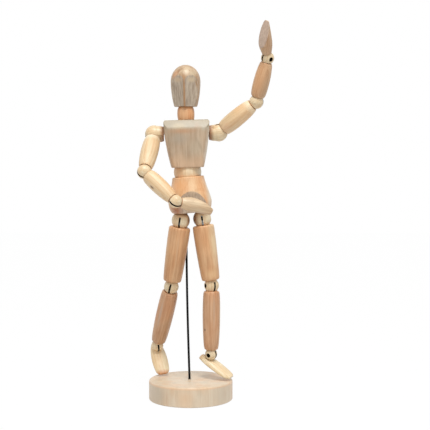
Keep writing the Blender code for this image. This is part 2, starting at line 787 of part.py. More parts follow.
def build_arm(side, chest_pivot, chest):
    shade = {RIGHT: CREAM, LEFT: TAN}[side]
    (upper, fore, hand), (shoulder, elbow, wrist) = arm_frames(side, chest)
    turn = ball(f"{side}_shoulder_ball", SHOULDER_RADIUS, shoulder, chest_pivot, CREAM, collar_end_distance())
    sizes = (UPPER_ARM_LENGTH, SHOULDER_RADIUS, ELBOW_RADIUS, UPPER_ARM_TOP_RADIUS, UPPER_ARM_END_RADIUS,
             UPPER_ARM_SWELL)
    fold = limb(f"{side}_upper_arm", upper, turn, sizes, elbow, CREAM)
    turn = ball(f"{side}_elbow_ball", ELBOW_RADIUS, elbow, fold, CREAM)
    sizes = (FOREARM_LENGTH, ELBOW_RADIUS, WRIST_RADIUS, FOREARM_TOP_RADIUS, FOREARM_END_RADIUS, FOREARM_SWELL)
    fold = limb(f"{side}_forearm", fore, turn, sizes, wrist, shade)
    turn = ball(f"{side}_wrist_ball", WRIST_RADIUS, wrist, fold, shade)
    end_piece(f"{side}_hand", hand_mesh(), WRIST_RADIUS, hand, turn, shade)


def build_leg(side, pelvis_pivot, pelvis):
    (thigh, shin, foot), (hip, knee, ankle) = leg_frames(side, pelvis)
    turn = ball(f"{side}_hip_ball", HIP_RADIUS, hip, pelvis_pivot, CREAM)
    sizes = (THIGH_LENGTH, HIP_RADIUS, KNEE_RADIUS, THIGH_TOP_RADIUS, THIGH_END_RADIUS, THIGH_SWELL)
    fold = limb(f"{side}_thigh", thigh, turn, sizes, knee, TAN)
    turn = ball(f"{side}_knee_ball", KNEE_RADIUS, knee, fold, CREAM)
    sizes = (SHIN_LENGTH, KNEE_RADIUS, ANKLE_RADIUS, SHIN_TOP_RADIUS, SHIN_END_RADIUS, SHIN_SWELL)
    fold = limb(f"{side}_shin", shin, turn, sizes, ankle, BROWN)
    turn = ball(f"{side}_ankle_ball", ANKLE_RADIUS, ankle, fold, CREAM)
    end_piece(f"{side}_foot", foot_mesh(), ANKLE_RADIUS, foot, turn, CREAM)


# Trunk

def pelvis_mesh():
    """A turned block, cupped above for the waist, with slanting saw cuts at the front and the back."""
    bottom, top = HIP_BELOW_PELVIS, HIP_BELOW_PELVIS + PELVIS_HEIGHT
    widest = bottom + PELVIS_WIDEST_HEIGHT
    waist = top + WAIST_GAP / 2
    cup = cup_radius(WAIST_RADIUS, TRUNK_SIDES)
    rim_angle = math.pi - math.asin(math.sqrt(cup ** 2 - (WAIST_GAP / 2) ** 2) / cup)
    floor_depth = WAIST_HALF_HEIGHT + CLEARANCE
    floor_angle = math.pi - math.asin(math.sqrt(cup ** 2 - floor_depth ** 2) / cup)
    edge = (PELVIS_TOP_RADIUS - cup * math.sin(rim_angle)) / 2
    outer = round_corner(PELVIS_TOP_RADIUS, top, edge, edge, 2)
    for step in range(1, 5):
        share = step / 5
        curved = (1 - math.cos(math.pi * share)) / 2
        grown = share + (curved - share) * PELVIS_FLANK_CURVE
        outer.append((PELVIS_TOP_RADIUS + (PELVIS_RADIUS - PELVIS_TOP_RADIUS) * grown,
                      top - edge + (widest - top + edge) * share))
    for step in range(0, 5):
        angle = math.pi / 2 * step / 4
        outer.append((PELVIS_BOTTOM_RADIUS + (PELVIS_RADIUS - PELVIS_BOTTOM_RADIUS) * math.cos(angle),
                      widest + (bottom - widest) * math.sin(angle)))
    bore_floor = waist - SPINE_SPRING_DOWN - SPRING_END_ROOM
    bore = trunk_bore_radius(SPINE_SPRING_DOWN, WAIST_BEND_ROOM)
    inside = [(0, bottom), (0, bore_floor), (bore, bore_floor), (bore, waist - floor_depth)]
    hollow = arc(cup, floor_angle, rim_angle, CUP_STEPS, waist)
    mesh = turned(outer + inside + hollow, TRUNK_SIDES, closed=True)
    slope = math.radians(PELVIS_CUT_SLOPE)
    saw_cut(mesh, (0, -PELVIS_FRONT_CUT, bottom), (0, -math.cos(slope), -math.sin(slope)))
    saw_cut(mesh, (0, PELVIS_BACK_CUT, bottom), (0, math.cos(slope), -math.sin(slope)))
    return mesh


def waist_mesh():
    floor_angle = math.acos(WAIST_HALF_HEIGHT / WAIST_RADIUS)
    outer = arc(WAIST_RADIUS, floor_angle, math.pi - floor_angle, 4)
    bore = [(WAIST_BORE_RADIUS, -WAIST_HALF_HEIGHT), (WAIST_BORE_RADIUS, WAIST_HALF_HEIGHT)]
    return turned(outer + bore, TRUNK_SIDES, closed=True)


def chest_section(height, half_width, half_depth, corner):
    """A rounded rectangle, four points to a corner."""
    ring = []
    for quarter, (side, front) in enumerate(((1, 1), (-1, 1), (-1, -1), (1, -1))):
        for step in range(4):
            angle = math.pi / 2 * (quarter + step / 3)
            ring.append((side * (half_width - corner) + corner * math.cos(angle),
                         front * (half_depth - corner) + corner * math.sin(angle), height))
    return ring


def chest_mesh():
    """A tapered block with round corners and a slanting cut along its top edge, front and back."""
    sections = []
    for step in range(5):
        height = chest_bottom_height() + CHEST_HEIGHT * step / 4
        sections.append(chest_section(height, chest_side(height), CHEST_HALF_DEPTH, CHEST_CORNER_RADIUS))
    mesh = loft(sections)
    bevel_foot = chest_top_height() - CHEST_BEVEL_HEIGHT
    for front in (-1, 1):
        normal = Vector((0, front * CHEST_BEVEL_HEIGHT, CHEST_BEVEL_DEPTH))
        saw_cut(mesh, (0, front * CHEST_HALF_DEPTH, bevel_foot), normal)
    return mesh


def neck_profile(seat_gap=0.0):
    """The neck's outer side below its dome, from the pivot down to its seat in the chest."""
    chest_top, seat = -NECK_PIVOT_ABOVE_CHEST, -NECK_PIVOT_ABOVE_CHEST - NECK_SEAT_DEPTH - seat_gap
    seat_radius = NECK_BOTTOM_RADIUS - NECK_SEAT_TAPER
    return [(NECK_BOTTOM_RADIUS + seat_gap, chest_top), (seat_radius + seat_gap, seat)]


def neck_mesh():
    """A barrel with a domed top that the head rocks on, bored for the spring."""
    dome_angle = math.acos(NECK_TOP_ABOVE_PIVOT / NECK_RADIUS)
    outer = arc(NECK_RADIUS, dome_angle, math.pi / 2, 4)
    middle = (NECK_RADIUS + NECK_BOTTOM_RADIUS) / 2 + CLEARANCE
    outer.append((middle, -NECK_PIVOT_ABOVE_CHEST / 2))
    outer += neck_profile()
    bottom = outer[-1][1]
    bore = [(NECK_BORE_RADIUS, bottom), (NECK_BORE_RADIUS, NECK_TOP_ABOVE_PIVOT)]
    return turned(outer + bore, NECK_SIDES, closed=True)


def head_mesh():
    """A turned egg on a cup, with two slanting saw cuts that meet at the nose line."""
    bottom = HEAD_ABOVE_PIVOT
    widest = bottom + HEAD_WIDEST_HEIGHT
    crown = HEAD_HEIGHT - HEAD_WIDEST_HEIGHT
    cup = cup_radius(NECK_RADIUS, TRUNK_SIDES)
    rim_angle = math.acos(bottom / cup)
    bore = NECK_BORE_RADIUS + CLEARANCE
    outer = []
    for step in range(7):
        angle = math.pi / 2 * step / 6
        outer.append((HEAD_RADIUS * math.sin(angle), widest + crown * math.cos(angle)))
    for step in range(1, 5):
        share = step / 4
        fullness = math.cos(math.pi / 2 * share) ** HEAD_JAW_CURVE
        radius = HEAD_BOTTOM_RADIUS + (HEAD_RADIUS - HEAD_BOTTOM_RADIUS) * fullness
        outer.append((radius, widest - HEAD_WIDEST_HEIGHT * share))
    hollow = arc(cup, rim_angle, math.asin(bore / cup), 2)
    bore_top = NECK_SPRING_UP + SPRING_END_ROOM
    mesh = turned(outer + hollow + [(bore, bore_top), (0, bore_top)], TRUNK_SIDES)
    slope, angle = math.radians(FACE_CUT_SLOPE), math.radians(FACE_CUT_ANGLE)
    for side in SIDE_SIGN.values():
        across, front = side * math.sin(angle), -math.cos(angle)
        point = (FACE_CUT_DEPTH * across, FACE_CUT_DEPTH * front, bottom)
        normal = (across * math.cos(slope), front * math.cos(slope), -math.sin(slope))
        saw_cut(mesh, point, normal)
    return mesh


def build_pelvis(frame, rod_top, parent):
    piece = solid("pelvis", pelvis_mesh(), pine("pelvis", PELVIS_COLOUR), parent)
    for side, sign in SIDE_SIGN.items():
        hip = Vector((sign * HIP_SPACING / 2, 0, 0))
        cut(piece, f"{side}_socket", hollow(HIP_RADIUS, hip))
        top = HIP_RADIUS + HIP_SPRING_LENGTH + SPRING_END_ROOM
        cut(piece, f"{side}_bore", rod_mesh(HIP_BORE_RADIUS, hip, hip + Vector((0, 0, top))))
    local = frame.inverted()
    bore_end = rod_top + Vector((0, 0, ROD_IN_PELVIS + CLEARANCE))
    cut(piece, "rod_bore", rod_mesh(ROD_RADIUS + CLEARANCE, local @ rod_top, local @ bore_end))


def build_hip_spring(side, pelvis, parent):
    """A short spring above the hip ball, with its headed end in the ball."""
    hip = Vector((SIDE_SIGN[side] * HIP_SPACING / 2, 0, 0))
    balls = leg_frames(side, pelvis)[1]
    up = pelvis.to_3x3().inverted() @ balls[0].to_3x3().col[2]
    top = HIP_RADIUS + HIP_SPRING_LENGTH
    bottom = HIP_RADIUS + 2 * COIL_RADIUS
    points = [(hip + point, share) for point, share in coil(top, bottom, TRUNK_COIL_TURNS)]
    points.append((hip + up * (HIP_RADIUS + WIRE_LEAD), 1.0))
    points += swivel_head(hip, up)
    wire(f"{side}_hip_spring", points, parent)


def build_chest(chest, parent):
    piece = solid("chest", chest_mesh(), pine("chest", CHEST_COLOUR), parent)
    cut(piece, "waist_cup", hollow(WAIST_RADIUS))
    bore = trunk_bore_radius(SPINE_SPRING_UP, WAIST_LEAN_ROOM)
    bore_end = SPINE_SPRING_UP + SPRING_END_ROOM
    cut(piece, "spine_bore", rod_mesh(bore, (0, 0, 0), (0, 0, bore_end), SPOT_SIDES))
    across = 2 * CHEST_TOP_HALF_WIDTH
    height = shoulder_height()
    shoulder_bore = rod_mesh(COIL_RADIUS + WIRE_RADIUS + CLEARANCE, (-across, 0, height), (across, 0, height))
    cut(piece, "shoulder_bore", shoulder_bore)
    pivot_height = chest_top_height() + NECK_PIVOT_ABOVE_CHEST
    (top_radius, top), (low_radius, low) = neck_profile(CLEARANCE)
    room = swing(NECK_SPRING_DOWN, HEAD_NOD_ROOM) + WIRE_HEAD_RADIUS
    floor = -NECK_SPRING_DOWN - SPRING_END_ROOM
    mouth = top + CUTTER_REACH
    steps = ((0, mouth), (top_radius, mouth), (top_radius, top), (low_radius, low), (room, low), (room, floor),
             (0, floor))
    socket = turned(steps, NECK_SIDES)
    bmesh.ops.translate(socket, verts=socket.verts[:], vec=(0, 0, pivot_height))
    cut(piece, "neck_socket", socket)
    face = chest_side(height)
    for side, sign in SIDE_SIGN.items():
        inner, outer = (sign * face, 0, height), (sign * (face + CUTTER_REACH), 0, height)
        cut(piece, f"{side}_shoulder_spot", rod_mesh(SHOULDER_SPOT_RADIUS, inner, outer, SPOT_SIDES))


def build_shoulder_spring(chest, parent):
    """One spring across the chest, with a headed end in each shoulder ball."""
    height = shoulder_height()
    reach = collar_end_distance() + chest_side(height) + SHOULDER_GAP
    across = Matrix.Translation((0, 0, height)) @ Matrix.Rotation(math.pi / 2, 4, "Y")
    half = SHOULDER_COIL_SHARE * reach
    points = [(across @ point, share) for point, share in coil(half, -half, SHOULDER_COIL_TURNS)]
    right = swivel_head(Vector((-reach, 0, height)), Vector((1, 0, 0)))
    left = swivel_head(Vector((reach, 0, height)), Vector((-1, 0, 0)))
    wire("shoulder_spring", left[::-1] + points + right, parent)


def axis_spring(name, up, down, coil_bottom, parent):
    """A spring along the trunk: a coil above and a headed end below."""
    points = coil(up, coil_bottom, TRUNK_COIL_TURNS, TRUNK_COIL_RADIUS)
    thick = WIRE_HEAD_RADIUS / WIRE_RADIUS
    points.append((Vector((0, 0, -down + WIRE_HEAD_HEIGHT + WIRE_HEAD_STEP)), 1.0))
    points.append((Vector((0, 0, -down + WIRE_HEAD_HEIGHT)), thick))
    points.append((Vector((0, 0, -down)), thick))
    wire(name, points, parent)


def build_trunk(frames, rod_top):
    pelvis_turn = pivot("pelvis_turn", Matrix.Translation(rod_top))
    pelvis_pivot = pivot("pelvis_middle", frames["pelvis"], pelvis_turn)
    build_pelvis(frames["pelvis"], rod_top, pelvis_pivot)
    waist_turn = pivot("waist_turn", frames["waist"], pelvis_pivot)
    solid("waist", waist_mesh(), pine("waist", WAIST_COLOUR), waist_turn)
    waist_bend = pivot("waist_bend", frames["chest"], waist_turn)
    axis_spring("spine_spring", SPINE_SPRING_UP, SPINE_SPRING_DOWN, -SPINE_COIL_BELOW, waist_bend)
    waist_lean = pivot("waist_lean", frames["chest"], waist_bend)
    build_chest(frames["chest"], waist_lean)
    build_shoulder_spring(frames["chest"], waist_lean)
    head_turn = pivot("head_turn", frames["neck"], waist_lean)
    solid("neck", neck_mesh(), pine("neck", NECK_COLOUR), head_turn)
    head_nod = pivot("head_nod", frames["head"], head_turn)
    axis_spring("neck_spring", NECK_SPRING_UP, NECK_SPRING_DOWN, 0.0, head_nod)
    head_tilt = pivot("head_tilt", frames["head"], head_nod)
    solid("head", head_mesh(), pine("head", HEAD_COLOUR), head_tilt)
    return pelvis_pivot, waist_lean


# Base and rod

def base_mesh():
    outer = round_corner(BASE_RADIUS, BASE_THICKNESS, BASE_RIM_ROUND, BASE_RIM_ROUND)
    outer += [(BASE_RADIUS, BASE_FOOT_CHAMFER), (BASE_RADIUS - BASE_FOOT_CHAMFER, 0)]
    return turned([(0, BASE_THICKNESS)] + outer + [(0, 0)], BASE_SIDES)


def rod_route(rod_top):
    """Corner points of the rod's bend: out of the base with a lean, and upright into the pelvis."""
    foot = Vector((ROD_FOOT_X, 0, BASE_THICKNESS))
    rise = rod_top.z - foot.z
    leaning = foot + Vector((ROD_LEAN_X, ROD_LEAN_Y, ROD_LEAN_SHARE * rise))
    rising = rod_top - Vector((0, 0, ROD_UPRIGHT_SHARE * rise))
    return foot, leaning, rising, rod_top


def build_base_and_rod(rod_top):
    piece = solid("base", base_mesh(), pine("base", BASE_COLOUR), None)
    foot, leaning, rising, top = rod_route(rod_top)
    down = (foot - leaning).normalized()
    drill = rod_mesh(ROD_RADIUS + CLEARANCE, foot - CUTTER_REACH * down, foot + (ROD_IN_BASE + CLEARANCE) * down)
    cut(piece, "rod_bore", drill)
    points = [(foot + down * ROD_IN_BASE, 1.0)]
    for step in range(ROD_STEPS + 1):
        t = step / ROD_STEPS
        point = foot * (1 - t) ** 3 + leaning * 3 * t * (1 - t) ** 2 + rising * 3 * t * t * (1 - t) + top * t ** 3
        points.append((point, 1.0))
    points.append((top + Vector((0, 0, ROD_IN_PELVIS)), 1.0))
    rod = wire("support_rod", points, None, ROD_RADIUS)
    rod.data.bevel_resolution = 2
    rod.data.materials[0] = finish("support_rod", BLACK, 0.35, 0.6)


def main():
    for thing in list(bpy.data.objects):
        bpy.data.objects.remove(thing, do_unlink=True)
    frames = trunk_frames(standing_height())
    pelvis, chest = frames["pelvis"], frames["chest"]
    rod_top = pelvis.translation + Vector((-ROD_BESIDE_MIDDLE, ROD_BEHIND_HIPS, 0))
    build_base_and_rod(rod_top)
    pelvis_pivot, chest_pivot = build_trunk(frames, rod_top)
    for side in SIDE_SIGN:
        build_hip_spring(side, pelvis, pelvis_pivot)
        build_leg(side, pelvis_pivot, pelvis)
        build_arm(side, chest_pivot, chest)


main()
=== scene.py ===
"""Wooden drawing figure: every surface of it, built around its fixed frame.

Metres, +Z up. The figure faces -Y and its left side is at +X. Every piece is modelled in its
own frame, with -Z down the piece and -Y to its front, and is then set where its joint is.
"""

from __future__ import annotations

import json
import logging
import math
from dataclasses import dataclass, field
from enum import Enum

import bpy
from mathutils import Euler, Matrix, Vector

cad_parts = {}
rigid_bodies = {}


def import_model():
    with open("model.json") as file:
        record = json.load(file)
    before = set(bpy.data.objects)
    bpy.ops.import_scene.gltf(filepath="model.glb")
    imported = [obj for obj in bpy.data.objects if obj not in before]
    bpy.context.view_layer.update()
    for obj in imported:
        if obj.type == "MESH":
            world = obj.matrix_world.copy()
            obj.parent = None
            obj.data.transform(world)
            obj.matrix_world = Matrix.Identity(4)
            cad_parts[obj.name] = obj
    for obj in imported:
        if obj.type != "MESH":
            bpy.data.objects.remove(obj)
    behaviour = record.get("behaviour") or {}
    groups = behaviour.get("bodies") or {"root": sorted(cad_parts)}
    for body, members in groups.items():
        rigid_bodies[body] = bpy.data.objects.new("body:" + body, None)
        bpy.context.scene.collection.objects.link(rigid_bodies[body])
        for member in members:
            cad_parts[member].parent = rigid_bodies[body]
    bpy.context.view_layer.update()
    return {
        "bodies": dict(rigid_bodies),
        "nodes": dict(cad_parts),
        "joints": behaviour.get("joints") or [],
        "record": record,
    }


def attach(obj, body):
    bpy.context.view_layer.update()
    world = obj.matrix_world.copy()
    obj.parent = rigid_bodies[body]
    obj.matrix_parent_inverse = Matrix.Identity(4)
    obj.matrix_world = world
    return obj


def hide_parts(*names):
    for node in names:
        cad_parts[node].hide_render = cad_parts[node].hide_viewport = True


LOG = logging.getLogger("drawing_figure")

Colour = tuple[float, float, float, float]
Points = list[tuple[float, float]]
Piece = bpy.types.Object
Socket = bpy.types.NodeSocket

TURNED_SIDES = 72
BALL_SIDES = 64
PIN_SIDES = 32
CLEARANCE = 0.0003
MERGE = 1e-6
# Faces that meet at less than this, in degrees, are shaded as one.
SMOOTH_ANGLE = 38.0

BALL_RADIUS = {"shoulder": 0.0079, "elbow": 0.0063, "wrist": 0.0057, "hip": 0.0081, "knee": 0.0066,
               "ankle": 0.0054}
# A cup's rim stands off its ball's middle by this share of the ball's radius.
CUP_SHARE = 0.73
# The hole that a hook's shank stands in.
SHANK_RADIUS = 0.0011
SHANK_DEPTH = 0.0117

# Near-black painted shade for the walls of slots and pin holes.
CUT_SHADE_COLOUR = (30, 20, 14)
# Painted shade inside the cups that balls turn in, and along their rims.
CUP_SHADE_BROWN = (184, 120, 72)
WARM_TINT = (255, 226, 196)
GREY_TINT = (226, 232, 234)


class Side(Enum):
    """The figure's own sides, and their sign along X."""

    RIGHT = ("right", -1)
    LEFT = ("left", 1)

    @property
    def label(self) -> str:
        """The side's word in a node's name."""
        return self.value[0]

    @property
    def sign(self) -> int:
        """The side's direction along X."""
        return self.value[1]


class Tone(Enum):
    """Screen colours of the wood: early growth, then late growth."""

    CREAM = ((244, 218, 178), (226, 188, 140))
    HAND = ((238, 214, 178), (212, 184, 148))
    PALE_CREAM = ((248, 232, 198), (234, 208, 164))
    BALL = ((243, 224, 188), (224, 194, 150))
    FOREARM = ((224, 184, 142), (200, 152, 108))
    # Darker than HAND: painted shade on the raised left hand.
    RAISED_HAND = ((214, 182, 148), (190, 150, 112))
    THIGH = ((232, 190, 144), (204, 152, 106))
    SHIN = ((220, 176, 136), (194, 142, 100))
    CHEST = ((200, 177, 149), (172, 142, 112))
    NECK = ((232, 184, 136), (210, 152, 104))
    WAIST = ((250, 230, 196), (234, 206, 164))
    PELVIS = ((242, 204, 160), (222, 170, 120))
    HEAD = ((204, 178, 144), (166, 128, 90))
    BASE = ((234, 217, 192), (220, 194, 162))
    SAWN = ((202, 190, 172), (158, 144, 128))
    PALM = ((206, 184, 168), (184, 162, 146))


def linear(red: int, green: int, blue: int) -> Colour:
    """Turn a screen colour into the linear one that a shader takes.

    Args:
        red: Red, from 0 to 255.
        green: Green, from 0 to 255.
        blue: Blue, from 0 to 255.

    Returns:
        The linear colour, with full alpha.
    """
    shares = (red / 255, green / 255, blue / 255)
    return (*(s / 12.92 if s <= 0.04045 else ((s + 0.055) / 1.055) ** 2.4 for s in shares), 1.0)


class Graph:
    """A material's nodes, added one after another."""

    def __init__(self, name: str) -> None:
        """Start a material with its Principled shader.

        Args:
            name: The material's name.
        """
        self.material = bpy.data.materials.new(name)
        self.material.use_nodes = True
        self.nodes = self.material.node_tree.nodes
        self.links = self.material.node_tree.links
        self.shader = self.nodes["Principled BSDF"]

    def add(self, kind: str, **settings: object) -> bpy.types.Node:
        """Add a node.

        Args:
            kind: The node's type name, after ShaderNode.
            settings: Node properties, and links or values for sockets, which are named with underscores
                for spaces.

        Returns:
            The new node.
        """
        node = self.nodes.new("ShaderNode" + kind)
        for key, value in settings.items():
            socket = next((s for s in node.inputs if s.name.replace(" ", "_") == key), None)
            if socket is None:
                setattr(node, key, value)
            else:
                self.feed(socket, value)
        return node

    def feed(self, socket: Socket, value: object) -> None:
        """Link a result to a node's input, or set the input.

        Args:
            socket: The input.
            value: A socket or a plain value.
        """
        if isinstance(value, Socket):
            self.links.new(value, socket)
        else:
            socket.default_value = value

    def math(self, operation: str, first: object, second: object = 0.0) -> Socket:
        """Combine two numbers.

        Args:
            operation: The Math node's operation.
            first: A socket or a number.
            second: A socket or a number.

        Returns:
            The result's socket.
        """
        node = self.add("Math", operation=operation)
        self.feed(node.inputs[0], first)
        self.feed(node.inputs[1], second)
        return node.outputs[0]

    def vector(self, operation: str, first: object, second: object = (0.0, 0.0, 0.0)) -> bpy.types.Node:
        """Combine two vectors.

        Args:
            operation: The Vector Math node's operation.
            first: A socket or a vector.
            second: A socket or a vector.

        Returns:
            The node, whose first output is a vector and second a number.
        """
        node = self.add("VectorMath", operation=operation)
        self.feed(node.inputs[0], first)
        self.feed(node.inputs[1], second)
        return node

    def noise(self, coordinates: Socket, grain: "Grain") -> Socket:
        """Sample noise that is stretched along the Z axis.

        Args:
            coordinates: Where it is sampled, in metres.
            grain: How fine it is.

        Returns:
            The noise, around 0.5.
        """
        scaled = self.add("Mapping", Vector=coordinates, Scale=(grain.across, grain.across, grain.along))
        return self.add("TexNoise", Vector=scaled.outputs[0], Scale=1.0, Detail=grain.detail).outputs["Fac"]

    def remap(self, value: Socket, low: float, high: float, to_low: float, to_high: float) -> Socket:
        """Spread a range of a value over another range, and clamp it there.

        Args:
            value: The value.
            low: Where the range starts.
            high: Where the range ends.
            to_low: The result at low.
            to_high: The result at high.

        Returns:
            The result's socket.
        """
        node = self.add("MapRange", Value=value, From_Min=low, From_Max=high, To_Min=to_low, To_Max=to_high)
        return node.outputs["Result"]

    def blend(self, share: object, first: object, second: object, mode: str = "MIX") -> Socket:
        """Mix two colours.

        Args:
            share: How much of the second colour, as a socket or a number.
            first: A socket or a colour.
            second: A socket or a colour.
            mode: The Mix node's blend type.

        Returns:
            The mixed colour's socket.
        """
        node = self.add("Mix", data_type="RGBA", blend_type=mode)
        for index, value in ((0, share), (6, first), (7, second)):
            self.feed(node.inputs[index], value)
        return node.outputs[2]

    def cover(self, piece: Piece, colour: Socket, roughness: Socket, relief: "Relief") -> None:
        """Finish the material and give it to a piece.

        Args:
            piece: The piece or node.
            colour: Its colour.
            roughness: Its roughness.
            relief: Its fine relief.
        """
        bump = self.add("Bump", Strength=relief.strength, Distance=relief.distance, Height=relief.height)
        self.links.new(colour, self.shader.inputs["Base Color"])
        self.links.new(roughness, self.shader.inputs["Roughness"])
        self.links.new(bump.outputs[0], self.shader.inputs["Normal"])
        piece.data.materials.clear()
        piece.data.materials.append(self.material)


@dataclass(frozen=True)
class Grain:
    """Noise: its features per metre across and along a piece, its detail, and its share in the late growth."""

    across: float
    along: float
    detail: float
    weight: float = 0.0


@dataclass(frozen=True)
class Relief:
    """The bump of a surface: its height, how strongly it shades, and how deep it is in metres."""

    height: Socket
    strength: float
    distance: float


STREAKS = Grain(900, 28, 4.0, weight=0.75)
BANDS = Grain(240, 34, 3.0, weight=0.45)
CLOUDS = Grain(120, 60, 3.0, weight=0.45)
PORES = Grain(2600, 90, 3.0)
WARM_DRIFT = Grain(70, 26, 1.0)
GREY_DRIFT = Grain(110, 40, 1.0)
DRAWN = Grain(1800, 1800, 3.0)
LACQUER_CLOUDS = Grain(420, 60, 3.0)
LACQUER_DUST = Grain(2400, 300, 2.0)


@dataclass(frozen=True)
class SawnFace:
    """A flat face of a piece, in the piece's own frame."""

    point: Vector
    normal: Vector


@dataclass(frozen=True)
class Patch:
    """A soft patch of another colour, as an oval in the piece's own frame, in metres; some are marks in the
    wood, others painted highlights and shade.
    """

    centre: tuple[float, float, float]
    size: tuple[float, float, float]
    colour: tuple[int, int, int]
    share: float = 0.6
    core: float = 0.25
    ragged: float = 0.9
    turn: float = 0.0


@dataclass(frozen=True)
class Scorch:
    """A box in the piece's own frame where the walls of a narrow cut get painted shade."""

    low: tuple[float, float, float]
    high: tuple[float, float, float]


@dataclass(frozen=True)
class Timber:
    """Sanded pale wood with its growth lines along the piece."""

    tone: Tone
    sawn: tuple[SawnFace, ...] = ()
    patches: tuple[Patch, ...] = ()
    scorched: tuple[Scorch, ...] = ()
    sawn_tone: Tone = Tone.SAWN
    ring_spacing: float = 0.0024
    heart: tuple[float, float] = (0.019, 0.008)
    rings: float = 0.22
    contrast: float = 0.9
    drift: float = 0.5
    roughness: float = 0.46
    spread: float = 0.19
    pore_share: float = 0.40
    specular: float = 0.5
    coat: float = 0.35
    coat_roughness: float = 0.42
    seed_shift: float = 0.31
    seed_turn: float = 2.4

    def dress(self, piece: Piece, frame: Matrix, seed: int) -> None:
        """Give a piece this wood, with the grain along its own Z axis.

        Args:
            piece: The finished piece, with its place in its mesh.
            frame: The piece's own frame.
            seed: Sets this piece's grain apart from its neighbours'.
        """
        graph = Graph(piece.name)
        own = self._own_coordinates(graph, frame)
        shifted = graph.vector("ADD", own, (0.0, 0.0, self.seed_shift * seed)).outputs[0]
        grains = (STREAKS, BANDS, CLOUDS)
        streak, band, cloud = (graph.noise(shifted, grain) for grain in grains)
        pores = graph.noise(shifted, PORES)
        light, dark = (linear(*colour) for colour in self.tone.value)
        late = graph.math("MULTIPLY", self._growth(graph, shifted, seed), self.rings)
        for noise, grain in zip((streak, band, cloud), grains):
            late = graph.math("ADD", late, graph.math("MULTIPLY", noise, grain.weight))
        middle = 0.5 * (self.rings + sum(grain.weight for grain in grains))
        late = graph.remap(late, middle - self.spread, middle + self.spread, 0.0, self.contrast)
        colour = graph.blend(late, light, dark)
        colour = self._drift(graph, shifted, colour)
        colour = self._sawn_faces(graph, own, colour, streak)
        colour = self._patches(graph, own, colour, cloud)
        colour = graph.blend(graph.remap(pores, 0.58, 0.72, 0.0, self.pore_share), colour, dark, "MULTIPLY")
        colour = self._scorches(graph, own, colour)
        rough = graph.remap(streak, 0.3, 0.7, self.roughness - 0.06, self.roughness + 0.08)
        height = graph.math("ADD", graph.math("MULTIPLY", streak, 0.6), graph.math("MULTIPLY", pores, 0.4))
        graph.shader.inputs["Specular IOR Level"].default_value = self.specular
        graph.shader.inputs["Coat Weight"].default_value = self.coat
        graph.shader.inputs["Coat Roughness"].default_value = self.coat_roughness
        graph.cover(piece, colour, rough, Relief(height, strength=0.22, distance=0.00012))

    @staticmethod
    def _own_coordinates(graph: Graph, frame: Matrix) -> Socket:
        """Turn Object coordinates into the piece's own frame.

        Args:
            graph: The material's nodes.
            frame: The piece's own frame.

        Returns:
            The coordinates' socket.
        """
        inverse = frame.inverted()
        where = graph.add("TexCoord").outputs["Object"]
        turn = inverse.to_euler("XYZ")
        return graph.add("Mapping", Vector=where, Location=inverse.translation, Rotation=turn).outputs[0]

    def _growth(self, graph: Graph, own: Socket, seed: int) -> Socket:
        """Growth rings round a heart that lies beside the piece.

        Args:
            graph: The material's nodes.
            own: The piece's own coordinates.
            seed: Turns the heart round the piece.

        Returns:
            The rings, from early to late growth.
        """
        turn = self.seed_turn * seed
        across = self.heart[0] * math.cos(turn) - self.heart[1] * math.sin(turn)
        deep = self.heart[0] * math.sin(turn) + self.heart[1] * math.cos(turn)
        placed = graph.add("Mapping", Vector=own, Location=(across, deep, 0.0), Scale=(1.0, 1.0, 0.12))
        rings = graph.add("TexWave", Vector=placed.outputs[0], wave_type="RINGS", rings_direction="Z",
                          wave_profile="SAW", Scale=0.314 / self.ring_spacing, Distortion=3.2, Detail=2.0,
                          Detail_Scale=0.55)
        return rings.outputs["Fac"]

    def _sawn_faces(self, graph: Graph, own: Socket, colour: Socket, streak: Socket) -> Socket:
        """Grey the flat faces, where the saw left the wood rough.

        Args:
            graph: The material's nodes.
            own: The piece's own coordinates.
            colour: The wood's colour.
            streak: The fine grain.

        Returns:
            The colour with its sawn faces.
        """
        light, dark = (linear(*value) for value in self.sawn_tone.value)
        grey = graph.blend(graph.remap(streak, 0.36, 0.64, 0.0, 1.0), light, dark)
        for face in self.sawn:
            dot = graph.vector("DOT_PRODUCT", own, face.normal).outputs["Value"]
            depth = graph.math("SUBTRACT", dot, face.point.dot(face.normal))
            share = graph.remap(graph.math("ABSOLUTE", depth), 0.00004, 0.00022, 0.72, 0.0)
            colour = graph.blend(share, colour, grey)
        return colour

    def _drift(self, graph: Graph, where: Socket, colour: Socket) -> Socket:
        """Let the wood turn warmer here and greyer there.

        Args:
            graph: The material's nodes.
            where: The coordinates.
            colour: The wood's colour.

        Returns:
            The colour with its drift.
        """
        warm = graph.remap(graph.noise(where, WARM_DRIFT), 0.46, 0.72, 0.0, self.drift)
        grey = graph.remap(graph.noise(where, GREY_DRIFT), 0.50, 0.74, 0.0, self.drift)
        colour = graph.blend(warm, colour, linear(*WARM_TINT), "MULTIPLY")
        return graph.blend(grey, colour, linear(*GREY_TINT), "MULTIPLY")

    def _patches(self, graph: Graph, own: Socket, colour: Socket, cloud: Socket) -> Socket:
        """Lay the soft patches and the dark marks, painted light and shade among them.

        Args:
            graph: The material's nodes.
            own: The piece's own coordinates.
            colour: The wood's colour.
            cloud: Noise that frays the patches' edges.

        Returns:
            The colour with its patches.
        """
        for patch in self.patches:
            oval = graph.add("Mapping", vector_type="TEXTURE", Vector=own, Location=patch.centre,
                             Rotation=(0.0, math.radians(patch.turn), 0.0), Scale=patch.size)
            length = graph.vector("LENGTH", oval.outputs[0]).outputs["Value"]
            frayed = graph.math("ADD", length, graph.math("MULTIPLY", cloud, patch.ragged))
            shift = 0.5 * patch.ragged
            share = graph.remap(frayed, patch.core + shift, 1.0 + shift, patch.share, 0.0)
            colour = graph.blend(share, colour, linear(*patch.colour))
        return colour

